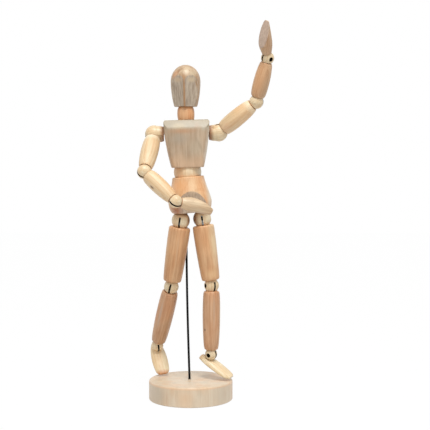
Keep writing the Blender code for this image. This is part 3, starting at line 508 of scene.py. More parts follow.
    def _scorches(self, graph: Graph, own: Socket, colour: Socket) -> Socket:
        """Paint shade on the walls of narrow cuts.

        Args:
            graph: The material's nodes.
            own: The piece's own coordinates.
            colour: The wood's colour.

        Returns:
            The colour with painted shade in its cuts.
        """
        if not self.scorched:
            return colour
        place = graph.add("SeparateXYZ", Vector=own)
        for box in self.scorched:
            inside = 0.97
            for socket, low, high in zip(place.outputs, box.low, box.high):
                inside = graph.math("MULTIPLY", graph.math("GREATER_THAN", socket, low), inside)
                inside = graph.math("MULTIPLY", graph.math("LESS_THAN", socket, high), inside)
            colour = graph.blend(inside, colour, linear(*CUT_SHADE_COLOUR))
        return colour


def cup_shade(ball_radius: float, height: float) -> Patch:
    """Painted shade inside a cup that a ball turns in, reaching just past its rim.

    Args:
        ball_radius: The ball's radius.
        height: The ball's middle on the piece's own axis.

    Returns:
        The patch.
    """
    reach = 1.08 * (ball_radius + CLEARANCE)
    return Patch((0.0, 0.0, height), (reach, reach, reach), CUP_SHADE_BROWN, share=0.85, core=0.985, ragged=0.0)


@dataclass(frozen=True)
class Steel:
    """Drawn wire and pins, near black: partly blackened metal, partly painted shade of the slots and holes
    they sit in.
    """

    # So dark that it is partly painted shade in the slots and pin holes.
    colour: tuple[int, int, int] = (28, 24, 17)
    dulling: float = 0.72
    roughness: float = 0.40

    def dress(self, piece: Piece) -> None:
        """Give a piece this metal.

        Args:
            piece: The piece or node.
        """
        graph = Graph(piece.name)
        where = graph.add("TexCoord").outputs["Object"]
        drawn = graph.noise(where, DRAWN)
        dull = (int(self.dulling * value) for value in self.colour)
        colour = graph.blend(graph.remap(drawn, 0.35, 0.7, 0.0, 1.0), linear(*self.colour), linear(*dull))
        rough = graph.remap(drawn, 0.3, 0.7, self.roughness - 0.08, self.roughness + 0.12)
        graph.shader.inputs["Metallic"].default_value = 1.0
        graph.cover(piece, colour, rough, Relief(drawn, strength=0.15, distance=0.00004))


@dataclass(frozen=True)
class BlackLacquer:
    """The rod's thin black coat."""

    fresh: tuple[int, int, int] = (7, 6, 6)
    worn: tuple[int, int, int] = (16, 13, 11)
    roughness: float = 0.55
    specular: float = 0.15

    def dress(self, piece: Piece) -> None:
        """Give the rod this coat.

        Args:
            piece: The rod.
        """
        graph = Graph(piece.name)
        where = graph.add("TexCoord").outputs["Object"]
        cloud = graph.noise(where, LACQUER_CLOUDS)
        dust = graph.noise(where, LACQUER_DUST)
        colour = graph.blend(graph.remap(cloud, 0.55, 0.75, 0.0, 1.0), linear(*self.fresh),
                             linear(*self.worn))
        rough = graph.remap(cloud, 0.3, 0.7, self.roughness - 0.05, self.roughness + 0.14)
        graph.shader.inputs["Specular IOR Level"].default_value = self.specular
        graph.cover(piece, colour, rough, Relief(dust, strength=0.04, distance=0.00003))


def arc(radius: float, start: float, end: float, steps: int, height: float = 0.0) -> Points:
    """Points of a profile on a circle about the axis.

    Args:
        radius: The circle's radius.
        start: The first angle from the +Z axis, in radians.
        end: The last angle.
        steps: How many steps lie between.
        height: The circle's centre.

    Returns:
        The (radius, height) points.
    """
    angles = (start + (end - start) * step / steps for step in range(steps + 1))
    return [(radius * math.sin(angle), height + radius * math.cos(angle)) for angle in angles]


def rounded_edge(radius: float, height: float, size: float, steps: int = 6) -> Points:
    """A quarter round at the top of an outer side, from its inner edge outwards.

    Args:
        radius: The outer side's radius.
        height: The top's height.
        size: The quarter round's radius.
        steps: How many steps it has.

    Returns:
        The (radius, height) points.
    """
    angles = (math.pi / 2 * step / steps for step in range(steps + 1))
    return [(radius - size * (1 - math.sin(a)), height - size * (1 - math.cos(a))) for a in angles]


def alone(piece: Piece) -> None:
    """Select one piece and make it active.

    Args:
        piece: The piece.
    """
    bpy.ops.object.select_all(action="DESELECT")
    piece.select_set(True)
    bpy.context.view_layer.objects.active = piece


def new_piece(name: str) -> Piece:
    """Name the primitive that was just added and put its place into its mesh.

    Args:
        name: The piece's name.

    Returns:
        The piece.
    """
    piece = bpy.context.active_object
    piece.name = piece.data.name = name
    alone(piece)
    bpy.ops.object.transform_apply(location=True, rotation=True, scale=True)
    return piece


def open_up(piece: Piece) -> None:
    """Enter edit mode with all of a piece selected.

    Args:
        piece: The piece.
    """
    alone(piece)
    bpy.ops.object.mode_set(mode="EDIT")
    bpy.ops.mesh.select_mode(type="VERT")
    bpy.ops.mesh.select_all(action="SELECT")


def close_up(piece: Piece) -> None:
    """Merge doubled corners and face everything outwards, then leave edit mode.

    Args:
        piece: The piece, in edit mode.
    """
    bpy.ops.mesh.select_all(action="SELECT")
    bpy.ops.mesh.remove_doubles(threshold=MERGE)
    bpy.ops.mesh.normals_make_consistent(inside=False)
    bpy.ops.object.mode_set(mode="OBJECT")
    LOG.debug("%s has %d faces", piece.name, len(piece.data.polygons))


def turned(name: str, profile: Points, ring: bool = False, sides: int = TURNED_SIDES) -> Piece:
    """Turn a piece: draw a circle at the profile's first point and pull it out along the rest.

    Args:
        name: The piece's name.
        profile: (radius, height) points, the first and last ones closed by a flat unless ring is set.
        ring: Join the last circle to the first, for a piece with a bore right through.
        sides: How many sides the circle has.

    Returns:
        The piece.
    """
    radius, height = profile[0]
    bpy.ops.object.select_all(action="DESELECT")
    bpy.ops.mesh.primitive_circle_add(vertices=sides, radius=radius, location=(0, 0, height),
                                      fill_type="NOTHING" if ring else "TRIFAN")
    piece = new_piece(name)
    open_up(piece)
    for next_radius, next_height in profile[1:]:
        bpy.ops.mesh.extrude_region_move(TRANSFORM_OT_translate={"value": (0, 0, next_height - height)})
        share = next_radius / radius
        bpy.ops.transform.resize(value=(share, share, 1), center_override=(0, 0, next_height))
        radius, height = next_radius, next_height
    if ring:
        bpy.ops.mesh.select_all(action="DESELECT")
        bpy.ops.mesh.select_non_manifold()
        bpy.ops.mesh.bridge_edge_loops()
    close_up(piece)
    return piece


def saw(piece: Piece, face: SawnFace) -> None:
    """Cut off what lies past a flat and close the wood there.

    Args:
        piece: The piece.
        face: The flat that the cut leaves.
    """
    open_up(piece)
    bpy.ops.mesh.bisect(plane_co=face.point, plane_no=face.normal, use_fill=True, clear_outer=True)
    close_up(piece)


def combine(piece: Piece, shape: Piece, operation: str = "DIFFERENCE") -> None:
    """Cut a shape out of a piece, or join it on, and throw the shape away.

    Args:
        piece: The piece.
        shape: A closed shape.
        operation: The Boolean modifier's operation.
    """
    alone(piece)
    cut = piece.modifiers.new("cut", "BOOLEAN")
    cut.object = shape
    cut.operation = operation
    cut.solver = "EXACT"
    bpy.ops.object.modifier_apply(modifier=cut.name)
    bpy.data.objects.remove(shape, do_unlink=True)
    open_up(piece)
    bpy.ops.mesh.dissolve_degenerate(threshold=MERGE)
    bpy.ops.mesh.remove_doubles(threshold=2 * MERGE)
    bpy.ops.object.mode_set(mode="OBJECT")


def drill(piece: Piece, radius: float, start: Vector, end: Vector, sides: int = PIN_SIDES) -> None:
    """Drill a round hole between two points.

    Args:
        piece: The piece.
        radius: The hole's radius.
        start: Where it starts.
        end: Where it ends.
        sides: How many sides it has.
    """
    bpy.ops.object.select_all(action="DESELECT")
    along = (end - start).to_track_quat("Z", "Y").to_euler()
    bpy.ops.mesh.primitive_cylinder_add(vertices=sides, radius=radius, depth=(end - start).length,
                                        location=(start + end) / 2, rotation=along)
    combine(piece, new_piece("drill"))


def scoop(piece: Piece, radius: float, centre: Vector) -> None:
    """Cut a round socket.

    Args:
        piece: The piece.
        radius: The socket's radius.
        centre: Its centre.
    """
    bpy.ops.object.select_all(action="DESELECT")
    bpy.ops.mesh.primitive_uv_sphere_add(segments=BALL_SIDES, ring_count=BALL_SIDES // 2, radius=radius,
                                         location=centre)
    combine(piece, new_piece("scoop"))


def slab(piece: Piece, low: Vector, high: Vector) -> None:
    """Cut a square-edged slot or flat.

    Args:
        piece: The piece.
        low: The slot's lowest corner.
        high: Its highest corner.
    """
    bpy.ops.object.select_all(action="DESELECT")
    bpy.ops.mesh.primitive_cube_add(size=1, location=(low + high) / 2, scale=high - low)
    combine(piece, new_piece("slab"))


def rounding(edge: Vector, first: Vector, last: Vector, radius: float, steps: int) -> list[SawnFace]:
    """Cuts that round an edge between two flats.

    Args:
        edge: A point on the edge.
        first: The first flat's outward direction.
        last: The other flat's outward direction.
        radius: The radius the edge gets.
        steps: How many cuts.

    Returns:
        The cuts, in order.
    """
    centre = edge - radius * (first + last) / (1 + first.dot(last))
    normals = [first.slerp(last, (step + 1) / (steps + 1)) for step in range(steps)]
    return [SawnFace(centre + radius * normal, normal) for normal in normals]


def ease(piece: Piece, width: float, angle: float = 30.0, segments: int = 2) -> None:
    """Sand the sharp edges round and smooth the rest.

    Args:
        piece: The piece.
        width: How wide the sanding is.
        angle: Edges sharper than this, in degrees, are sanded.
        segments: How many faces each sanded edge has.
    """
    alone(piece)
    if width > 0:
        bevel = piece.modifiers.new("sanded", "BEVEL")
        bevel.width = width
        bevel.segments = segments
        bevel.limit_method = "ANGLE"
        bevel.angle_limit = math.radians(angle)
        bevel.use_clamp_overlap = False
        bpy.ops.object.modifier_apply(modifier=bevel.name)
    bpy.ops.object.shade_smooth_by_angle(angle=math.radians(SMOOTH_ANGLE))


def set_in_place(piece: Piece, frame: Matrix) -> None:
    """Move a piece from its own frame to the figure, with its place in its mesh.

    Args:
        piece: The piece, modelled about the origin.
        frame: Where its own frame is.
    """
    piece.matrix_world = frame
    alone(piece)
    bpy.ops.object.transform_apply(location=True, rotation=True, scale=True)


def copy_of(piece: Piece, name: str) -> Piece:
    """Copy a piece with its mesh.

    Args:
        piece: The first one.
        name: The copy's name.

    Returns:
        The copy.
    """
    copy = piece.copy()
    copy.data = piece.data.copy()
    copy.name = copy.data.name = name
    bpy.context.scene.collection.objects.link(copy)
    return copy


def mount(piece: Piece, body: str) -> None:
    """Let a piece stand for its node of the frame and ride on its body.

    Args:
        piece: The finished piece, which is named after its node with a suffix.
        body: The body.
    """
    node = piece.name.removesuffix("_wood").removesuffix("_metal")
    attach(piece, body)
    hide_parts(node)
    LOG.info("%s rides on %s, %d faces", piece.name, body, len(piece.data.polygons))


@dataclass
class Skeleton:
    """Where each piece of the figure is, read from the frame's joints."""

    joints: dict[str, dict]
    ball_above: dict[str, str] = field(default_factory=lambda: {
        "elbow": "shoulder", "wrist": "elbow", "knee": "hip", "ankle": "knee"})

    def point(self, joint: str) -> Vector:
        """A joint's place."""
        return Vector(self.joints[joint]["pos_m"])

    def axis(self, joint: str) -> Vector:
        """A joint's axis."""
        return Vector(self.joints[joint]["axis"]).normalized()

    @staticmethod
    def matrix(point: Vector, across: Vector, up: Vector) -> Matrix:
        """Make a frame.

        Args:
            point: Its origin.
            across: Its X axis.
            up: Its Z axis, which is squared to X.

        Returns:
            The frame.
        """
        up = (up - up.dot(across) * across).normalized()
        turn = Matrix((across, up.cross(across), up)).transposed()
        return Matrix.Translation(point) @ turn.to_4x4()

    def hung(self, side: Side, ball: str, end: Vector) -> Matrix:
        """The frame of the piece that folds about a ball's pin.

        Args:
            side: The figure's side.
            ball: The ball that it hangs on.
            end: A point that its own axis passes through.

        Returns:
            The frame.
        """
        joint = f"{side.label}_{ball}_bend"
        point = self.point(joint)
        return self.matrix(point, self.axis(joint), point - end)

    def ball(self, side: Side, ball: str) -> Matrix:
        """A ball's frame: its pin along X and its bore up Z, toward the piece above.

        Args:
            side: The figure's side.
            ball: The ball.

        Returns:
            The frame.
        """
        bend, turn = f"{side.label}_{ball}_bend", f"{side.label}_{ball}_turn"
        point, up = self.point(bend), self.axis(turn)
        if ball == "shoulder":
            above = (self.point("left_shoulder_turn") + self.point("right_shoulder_turn")) / 2
        elif ball == "hip":
            above = self.point("waist_turn")
        else:
            above = self.point(f"{side.label}_{self.ball_above[ball]}_turn")
        if up.dot(above - point) < 0:
            up = -up
        return self.matrix(point, self.axis(bend), up)

    def pelvis(self) -> Matrix:
        """The pelvis's frame, between the hips."""
        right, left = self.point("right_hip_turn"), self.point("left_hip_turn")
        return self.matrix((right + left) / 2, (left - right).normalized(), self.axis("waist_turn"))

    def waist(self) -> Matrix:
        """The waist ball's frame."""
        return self.matrix(self.point("waist_turn"), self.pelvis().to_3x3().col[0], self.axis("waist_turn"))

    def chest(self) -> Matrix:
        """The chest's frame, in the waist ball."""
        across, back = self.axis("waist_bend"), self.axis("waist_lean")
        return self.matrix(self.point("waist_lean"), across, across.cross(back))

    def neck(self) -> Matrix:
        """The neck's frame, at the middle of its dome."""
        return self.matrix(self.point("head_turn"), self.chest().to_3x3().col[0], self.axis("head_turn"))

    def head(self) -> Matrix:
        """The head's frame, at the same place."""
        across, back = self.axis("head_nod"), self.axis("head_tilt")
        return self.matrix(self.point("head_tilt"), across, across.cross(back))


@dataclass
class Base:
    """The round block that the figure stands on."""

    sides: int = 144
    radius: float = 0.0375
    thickness: float = 0.0175
    rim_round: float = 0.0018
    foot_chamfer: float = 0.0006
    bore_radius: float = 0.00135
    bore_depth: float = 0.0123

    def build(self, rod: "Rod") -> None:
        """Turn the block, drill it for the rod and dress it.

        Args:
            rod: The rod that stands in it.
        """
        profile = [(self.radius - self.foot_chamfer, 0.0), (self.radius, self.foot_chamfer)]
        profile += [(self.radius, self.thickness * share) for share in (0.3, 0.6)]
        profile += rounded_edge(self.radius, self.thickness, self.rim_round)[::-1]
        profile += [(self.radius * share, self.thickness) for share in (0.66, 0.33)]
        piece = turned("base_wood", profile, sides=self.sides)
        foot, lean = rod.foot(self.thickness), rod.lean_direction(self.thickness)
        drill(piece, self.bore_radius, foot - self.bore_depth * lean, foot + 0.004 * lean)
        ease(piece, 0.0)
        patches = (
            Patch((-0.030, -0.024, 0.0080), (0.016, 0.020, 0.020), (206, 188, 164), share=0.6),
            Patch((-0.004, -0.0375, 0.0070), (0.010, 0.020, 0.014), (240, 202, 162), share=0.6),
            Patch((0.028, -0.026, 0.0080), (0.012, 0.020, 0.020), (216, 202, 180), share=0.6),
            Patch((0.0, 0.0, 0.0161), (1.0, 1.0, 0.0012), (238, 196, 156), share=0.6, core=0.2, ragged=1.2),
        )
        wood = Timber(Tone.BASE, patches=patches, ring_spacing=0.0031, heart=(0.045, 0.03), rings=0.05,
                      contrast=0.65)
        wood.dress(piece, Matrix.Identity(4), 3)
        mount(piece, "base")


@dataclass
class Rod:
    """The thin bent rod between the base and the pelvis."""

    top: Vector
    radius: float = 0.00100
    in_base: float = 0.012
    in_pelvis: float = 0.014
    foot_x: float = -0.0011
    lean_x: float = -0.0016
    lean_y: float = 0.0035
    lean_share: float = 0.32
    upright_share: float = 0.42

    def foot(self, base_top: float) -> Vector:
        """Where the rod leaves the base."""
        return Vector((self.foot_x, 0.0, base_top))

    def lean_direction(self, base_top: float) -> Vector:
        """The rod's direction as it leaves the base."""
        rise = self.lean_share * (self.top.z - base_top)
        return Vector((self.lean_x, self.lean_y, rise)).normalized()

    def build(self, base_top: float) -> None:
        """Bend the rod through its route and dress it.

        Args:
            base_top: The height of the base's top.
        """
        foot, lean = self.foot(base_top), self.lean_direction(base_top)
        rise = self.top.z - base_top
        leaning = foot + Vector((self.lean_x, self.lean_y, self.lean_share * rise))
        rising = self.top - Vector((0, 0, self.upright_share * rise))
        end = self.top + Vector((0, 0, self.in_pelvis))
        start = foot - lean * self.in_base
        third = 1 / 3
        knots = ((start, start, start.lerp(foot, third)), (start.lerp(foot, 2 * third), foot, leaning),
                 (rising, self.top, self.top.lerp(end, third)), (self.top.lerp(end, 2 * third), end, end))
        bpy.ops.object.select_all(action="DESELECT")
        bpy.ops.curve.primitive_bezier_curve_add(location=(0, 0, 0))
        rod = bpy.context.active_object
        rod.name = "support_rod_metal"
        spline = rod.data.splines[0]
        spline.bezier_points.add(len(knots) - len(spline.bezier_points))
        for knot, (before, at, after) in zip(spline.bezier_points, knots):
            knot.handle_left_type = knot.handle_right_type = "FREE"
            knot.handle_left, knot.co, knot.handle_right = before, at, after
        spline.resolution_u = 24
        rod.data.bevel_depth = self.radius
        rod.data.bevel_resolution = 6
        rod.data.use_fill_caps = True
        alone(rod)
        bpy.ops.object.convert(target="MESH")
        open_up(rod)
        close_up(rod)
        ease(rod, 0.0)
        BlackLacquer().dress(rod)
        mount(rod, "base")


@dataclass
class Ball:
    """A slotted ball with its cross pin."""

    name: str
    tone: Tone = Tone.BALL
    collar_end: float | None = None
    collar_radius: float = 0.0074
    collar_start: float = 0.0025
    collar_relief: float = 0.0053
    collar_taper: float = 0.0009
    # How strong the painted shade is at the top of a ball without a collar.
    top_shade: float = 0.0
    patches: dict[Side, tuple[Patch, ...]] = field(default_factory=dict)
    front_drilled: tuple[Side, ...] = ()
    slot_width: float = 0.0014
    slot_floor: float = 0.00295
    pin_hole_radius: float = 0.0020
    pin_radius: float = 0.0016
    pin_recess: float = 0.0009
    bore_radius: float = 0.0007

    @property
    def radius(self) -> float:
        """The ball's radius."""
        return BALL_RADIUS[self.name]

    @property
    def pin_reach(self) -> float:
        """How far the pin's end is from the ball's middle."""
        return math.sqrt(self.radius ** 2 - self.pin_radius ** 2) - self.pin_recess

    def model(self) -> Piece:
        """Turn the ball with its collar, slot it, and drill it for its pin and its wire.

        Returns:
            The ball, about the origin, with its pin hole open at +X.
        """
        over = 3 * self.radius
        bpy.ops.object.select_all(action="DESELECT")
        bpy.ops.mesh.primitive_uv_sphere_add(segments=BALL_SIDES, ring_count=BALL_SIDES // 2,
                                             radius=self.radius)
        piece = new_piece(f"{self.name}_ball_first")
        if self.collar_end is not None:
            combine(piece, self.collar(self.collar_end), "UNION")
        half = self.slot_width / 2
        slab(piece, Vector((-half, -over, -over)), Vector((half, over, self.slot_floor)))
        drill(piece, self.pin_hole_radius, Vector((-self.pin_reach - CLEARANCE, 0, 0)), Vector((over, 0, 0)))
        drill(piece, self.bore_radius, Vector((0, 0, 0)), Vector((0, 0, over)))
        ease(piece, 0.00012, angle=40.0)
        return piece

    def collar(self, end: float) -> Piece:
        """Shape the round collar toward the chest, flat on the side where the arm folds.

        Args:
            end: How far its end is from the ball's middle.

        Returns:
            The collar.
        """
        edge, length = 0.0005, end - self.collar_start
        profile = []
        for step in range(9):
            share = step / 8
            profile.append((self.collar_radius - self.collar_taper * share ** 2,
                            self.collar_start + (length - edge) * share))
        profile += rounded_edge(self.collar_radius - self.collar_taper, end, edge)[-2::-1]
        collar = turned("collar", profile, sides=BALL_SIDES)
        saw(collar, SawnFace(Vector((0, self.collar_relief, end)), Vector((0, 1, 0))))
        open_up(collar)
        bpy.ops.mesh.dissolve_limited(angle_limit=math.radians(0.5))
        bpy.ops.object.mode_set(mode="OBJECT")
        return collar

    def pin(self) -> Piece:
        """Turn the pin, a little shorter than its hole.

        Returns:
            The pin, about the origin.
        """
        bpy.ops.object.select_all(action="DESELECT")
        bpy.ops.mesh.primitive_cylinder_add(vertices=PIN_SIDES, radius=self.pin_radius,
                                            depth=2 * self.pin_reach, rotation=(0, math.pi / 2, 0))
        piece = new_piece(f"{self.name}_pin_first")
        ease(piece, 0.0002)
        return piece

    def shades(self) -> tuple[Patch, ...]:
        """Painted shade: at a collar's end against the chest, or at the top of a ball without a collar, under
        the piece above it.
        """
        if self.collar_end is None:
            return (Patch((0.0, 0.0, self.radius), (0.02, 0.02, 0.0046), (116, 76, 46), share=self.top_shade,
                          core=0.4, ragged=0.4),)
        return (Patch((0.0, 0.0, self.collar_end), (1.0, 1.0, 0.0042), (146, 92, 54), share=0.85, core=0.3,
                      ragged=0.5),)

    def scorched(self) -> tuple[Scorch, Scorch]:
        """The painted shade on the walls of the slot and of the pin hole."""
        skin, far = 0.00005, 0.02
        wide = self.pin_hole_radius + skin
        deep = math.sqrt(self.radius ** 2 - 2 * wide ** 2) - skin
        half = self.slot_width / 2 + 2 * skin
        return (
            Scorch((-half, -far, -far), (half, far, self.slot_floor + 2 * skin)),
            Scorch((-deep, -wide, -wide), (deep, wide, wide)),
        )

    def build(self, skeleton: Skeleton) -> None:
        """Set a ball and its pin on each side.

        Args:
            skeleton: Where they go.
        """
        ball, pin = self.model(), self.pin()
        for seed, side in enumerate(Side):
            frame = skeleton.ball(side, self.name)
            wood = copy_of(ball, f"{side.label}_{self.name}_ball_wood")
            faces_front = frame.to_3x3().col[0].y < 0
            if faces_front != (side in self.front_drilled):
                self.mirror(wood)
            set_in_place(wood, frame)
            timber = Timber(self.tone, patches=self.patches.get(side, ()) + self.shades(),
                            scorched=self.scorched(), heart=(0.009, 0.006))
            timber.dress(wood, frame, seed + len(self.name))
            mount(wood, f"{side.label}_{self.name}_ball")
            metal = copy_of(pin, f"{side.label}_{self.name}_pin_metal")
            set_in_place(metal, frame)
            # Pins near black: partly painted shade in their holes.
            Steel(colour=(26, 22, 16), roughness=0.5).dress(metal)
            mount(metal, f"{side.label}_{self.name}_ball")
        for first in (ball, pin):
            bpy.data.objects.remove(first, do_unlink=True)

    @staticmethod
    def mirror(wood: Piece) -> None:
        """Swap a ball's ends along its pin.

        Args:
            wood: The ball, about the origin.
        """
        open_up(wood)
        bpy.ops.transform.resize(value=(-1, 1, 1), center_override=(0, 0, 0))
        bpy.ops.mesh.flip_normals()
        bpy.ops.object.mode_set(mode="OBJECT")


@dataclass
class Limb:
    """A turned limb with a cup for a ball at each end and a bore right through."""

    name: str
    top_name: str
    end_name: str
    length: float
    top_radius: float
    end_radius: float
    swell: float
    tones: dict[Side, Tone]
    patches: dict[Side, tuple[Patch, ...]] = field(default_factory=dict)
    rings: float = 0.22
    edge_round: float = 0.0018
    bore_radius: float = 0.0024
    swell_curve: float = 0.6

    @property
    def top_ball(self) -> float:
        """The radius of the ball above."""
        return BALL_RADIUS[self.top_name]

    @property
    def end_ball(self) -> float:
        """The radius of the ball below."""
        return BALL_RADIUS[self.end_name]

    def profile(self) -> Points:
        """The limb's section: its outer side down, its lower cup, its bore and its upper cup.

        Returns:
            The (radius, height) points.
        """
        top_cup, end_cup = self.top_ball + CLEARANCE, self.end_ball + CLEARANCE
        top_plane, end_depth = -CUP_SHARE * self.top_ball, CUP_SHARE * self.end_ball
        top_rim = math.sqrt(top_cup ** 2 - top_plane ** 2)
        end_rim = math.sqrt(end_cup ** 2 - end_depth ** 2)
        top_round = min(self.edge_round, self.top_radius - top_rim - CLEARANCE)
        end_round = min(self.edge_round, self.end_radius - end_rim - CLEARANCE)
        start, stop = top_plane - top_round, -self.length + end_depth + end_round
        outer = rounded_edge(self.top_radius, top_plane, top_round)
        for step in range(1, 32):
            share = (1 - math.cos(math.pi * step / 32)) / 2
            belly = self.swell * (4 * share * (1 - share)) ** self.swell_curve
            outer.append((self.top_radius + (self.end_radius - self.top_radius) * share + belly,
                          start + (stop - start) * share))
        lower = rounded_edge(self.end_radius, self.length - end_depth, end_round)
        outer += [(radius, -height) for radius, height in reversed(lower)]
        end_arc = arc(end_cup, math.asin(end_rim / end_cup), math.asin(self.bore_radius / end_cup), 8,
                      -self.length)
        top_arc = arc(top_cup, math.pi - math.asin(self.bore_radius / top_cup),
                      math.pi - math.asin(top_rim / top_cup), 8)
        return outer + end_arc + top_arc

    def cups(self) -> tuple[Patch, Patch]:
        """The painted shade inside the two cups."""
        return (cup_shade(self.top_ball, 0.0), cup_shade(self.end_ball, -self.length))

    def build(self, skeleton: Skeleton) -> None:
        """Turn the limb once and set one on each side.

        Args:
            skeleton: Where they go.
        """
        first = turned(f"{self.name}_first", self.profile(), ring=True)
        ease(first, 0.0)
        for seed, side in enumerate(Side):
            frame = skeleton.hung(side, self.top_name, skeleton.point(f"{side.label}_{self.end_name}_turn"))
            piece = copy_of(first, f"{side.label}_{self.name}_wood")
            set_in_place(piece, frame)
            wood = Timber(self.tones[side], patches=self.patches.get(side, ()) + self.cups(),
                          rings=self.rings)
            wood.dress(piece, frame, 7 * seed + len(self.name))
            mount(piece, f"{side.label}_{self.name}")
        bpy.data.objects.remove(first, do_unlink=True)


def hook_end(nodes: dict[str, Piece], hook: str, pivot: Vector) -> Vector:
    """Find the end of a hook's shank, which lies on its piece's own axis.

    Args:
        nodes: The frame's nodes.
        hook: The hook's node.
        pivot: The pin that the hook holds.

    Returns:
        The shank's end.
    """
    corners = sorted((vertex.co.copy() for vertex in nodes[hook].data.vertices),
                     key=lambda co: (co - pivot).length)
    farthest = (corners[-1] - pivot).length
    last = [co for co in corners if (co - pivot).length > farthest - 0.0001]
    return sum(last, Vector()) / len(last)


@dataclass
class Hand:
    """A turned hand, cut off at a slant so that its palm is flat."""

    ball_radius: float = BALL_RADIUS["wrist"]
    length: float = 0.0328
    wrist_radius: float = 0.0040
    radius: float = 0.0061
    widest_distance: float = 0.0165
    end_taper: float = 0.0004
    tip_thickness: float = 0.0010
    cut_slope: float = 26.0
    tones: dict[Side, Tone] = field(default_factory=lambda: {Side.RIGHT: Tone.HAND,
                                                             Side.LEFT: Tone.RAISED_HAND})

    @staticmethod
    def patches(side: Side) -> tuple[Patch, ...]:
        """Painted shade on the right hand's underside and tip, or the warm edge of the left one."""
        if side is Side.RIGHT:
            return (
                # Painted shade: the right hand's underside and tip, which face down.
                Patch((-0.0048, -0.0040, -0.0240), (0.0042, 0.0050, 0.0140), (184, 168, 158), share=0.8,
                      ragged=0.5),
                Patch((-0.0030, -0.0030, -0.0325), (0.0040, 0.0040, 0.0030), (170, 142, 132), share=0.7,
                      ragged=0.5),
            )
        return (Patch((0.0, -0.0060, -0.0240), (0.0080, 0.0030, 0.0100), (226, 190, 130), share=0.5),)

    def palm(self) -> SawnFace:
        """The slanting cut."""
        slope = math.radians(self.cut_slope)
        point = Vector((0, self.tip_thickness - self.radius + self.end_taper, -self.length))
        return SawnFace(point, Vector((0, math.cos(slope), -math.sin(slope))))

    def model(self) -> Piece:
        """Turn the hand, cut its palm and cup its wrist.

        Returns:
            The hand, about the origin.
        """
        start = CUP_SHARE * self.ball_radius
        swell = self.widest_distance - start
        outer = [(self.wrist_radius, -start)]
        for step in range(1, 13):
            share = step / 12
            grown = math.sin(math.pi / 2 * share)
            outer.append((self.wrist_radius + (self.radius - self.wrist_radius) * grown,
                          -start - swell * share))
        tip_radius = self.radius - self.end_taper
        for step in range(1, 9):
            share = step / 8
            outer.append((self.radius - self.end_taper * share ** 2,
                          -self.widest_distance - (self.length - self.widest_distance) * share))
        outer.append((0.6 * tip_radius, -self.length))
        piece = turned("hand_first", outer)
        saw(piece, self.palm())
        scoop(piece, self.ball_radius + CLEARANCE, Vector((0, 0, 0)))
        drill(piece, SHANK_RADIUS, Vector((0, 0, 0)), Vector((0, 0, -SHANK_DEPTH)))
        ease(piece, 0.00035, angle=28.0, segments=3)
        return piece

    def build(self, skeleton: Skeleton, nodes: dict[str, Piece]) -> None:
        """Set a hand on each wrist.

        Args:
            skeleton: Where they go.
            nodes: The frame's nodes.
        """
        first = self.model()
        for seed, side in enumerate(Side):
            end = hook_end(nodes, f"{side.label}_hand_hook", skeleton.point(f"{side.label}_wrist_bend"))
            frame = skeleton.hung(side, "wrist", end)
            piece = copy_of(first, f"{side.label}_hand_wood")
            set_in_place(piece, frame)
            wood = Timber(self.tones[side], sawn=(self.palm(),), sawn_tone=Tone.PALM,
                          patches=(cup_shade(self.ball_radius, 0.0), *self.patches(side)))
            wood.dress(piece, frame, 5 + 3 * seed)
            mount(piece, f"{side.label}_hand")
        bpy.data.objects.remove(first, do_unlink=True)


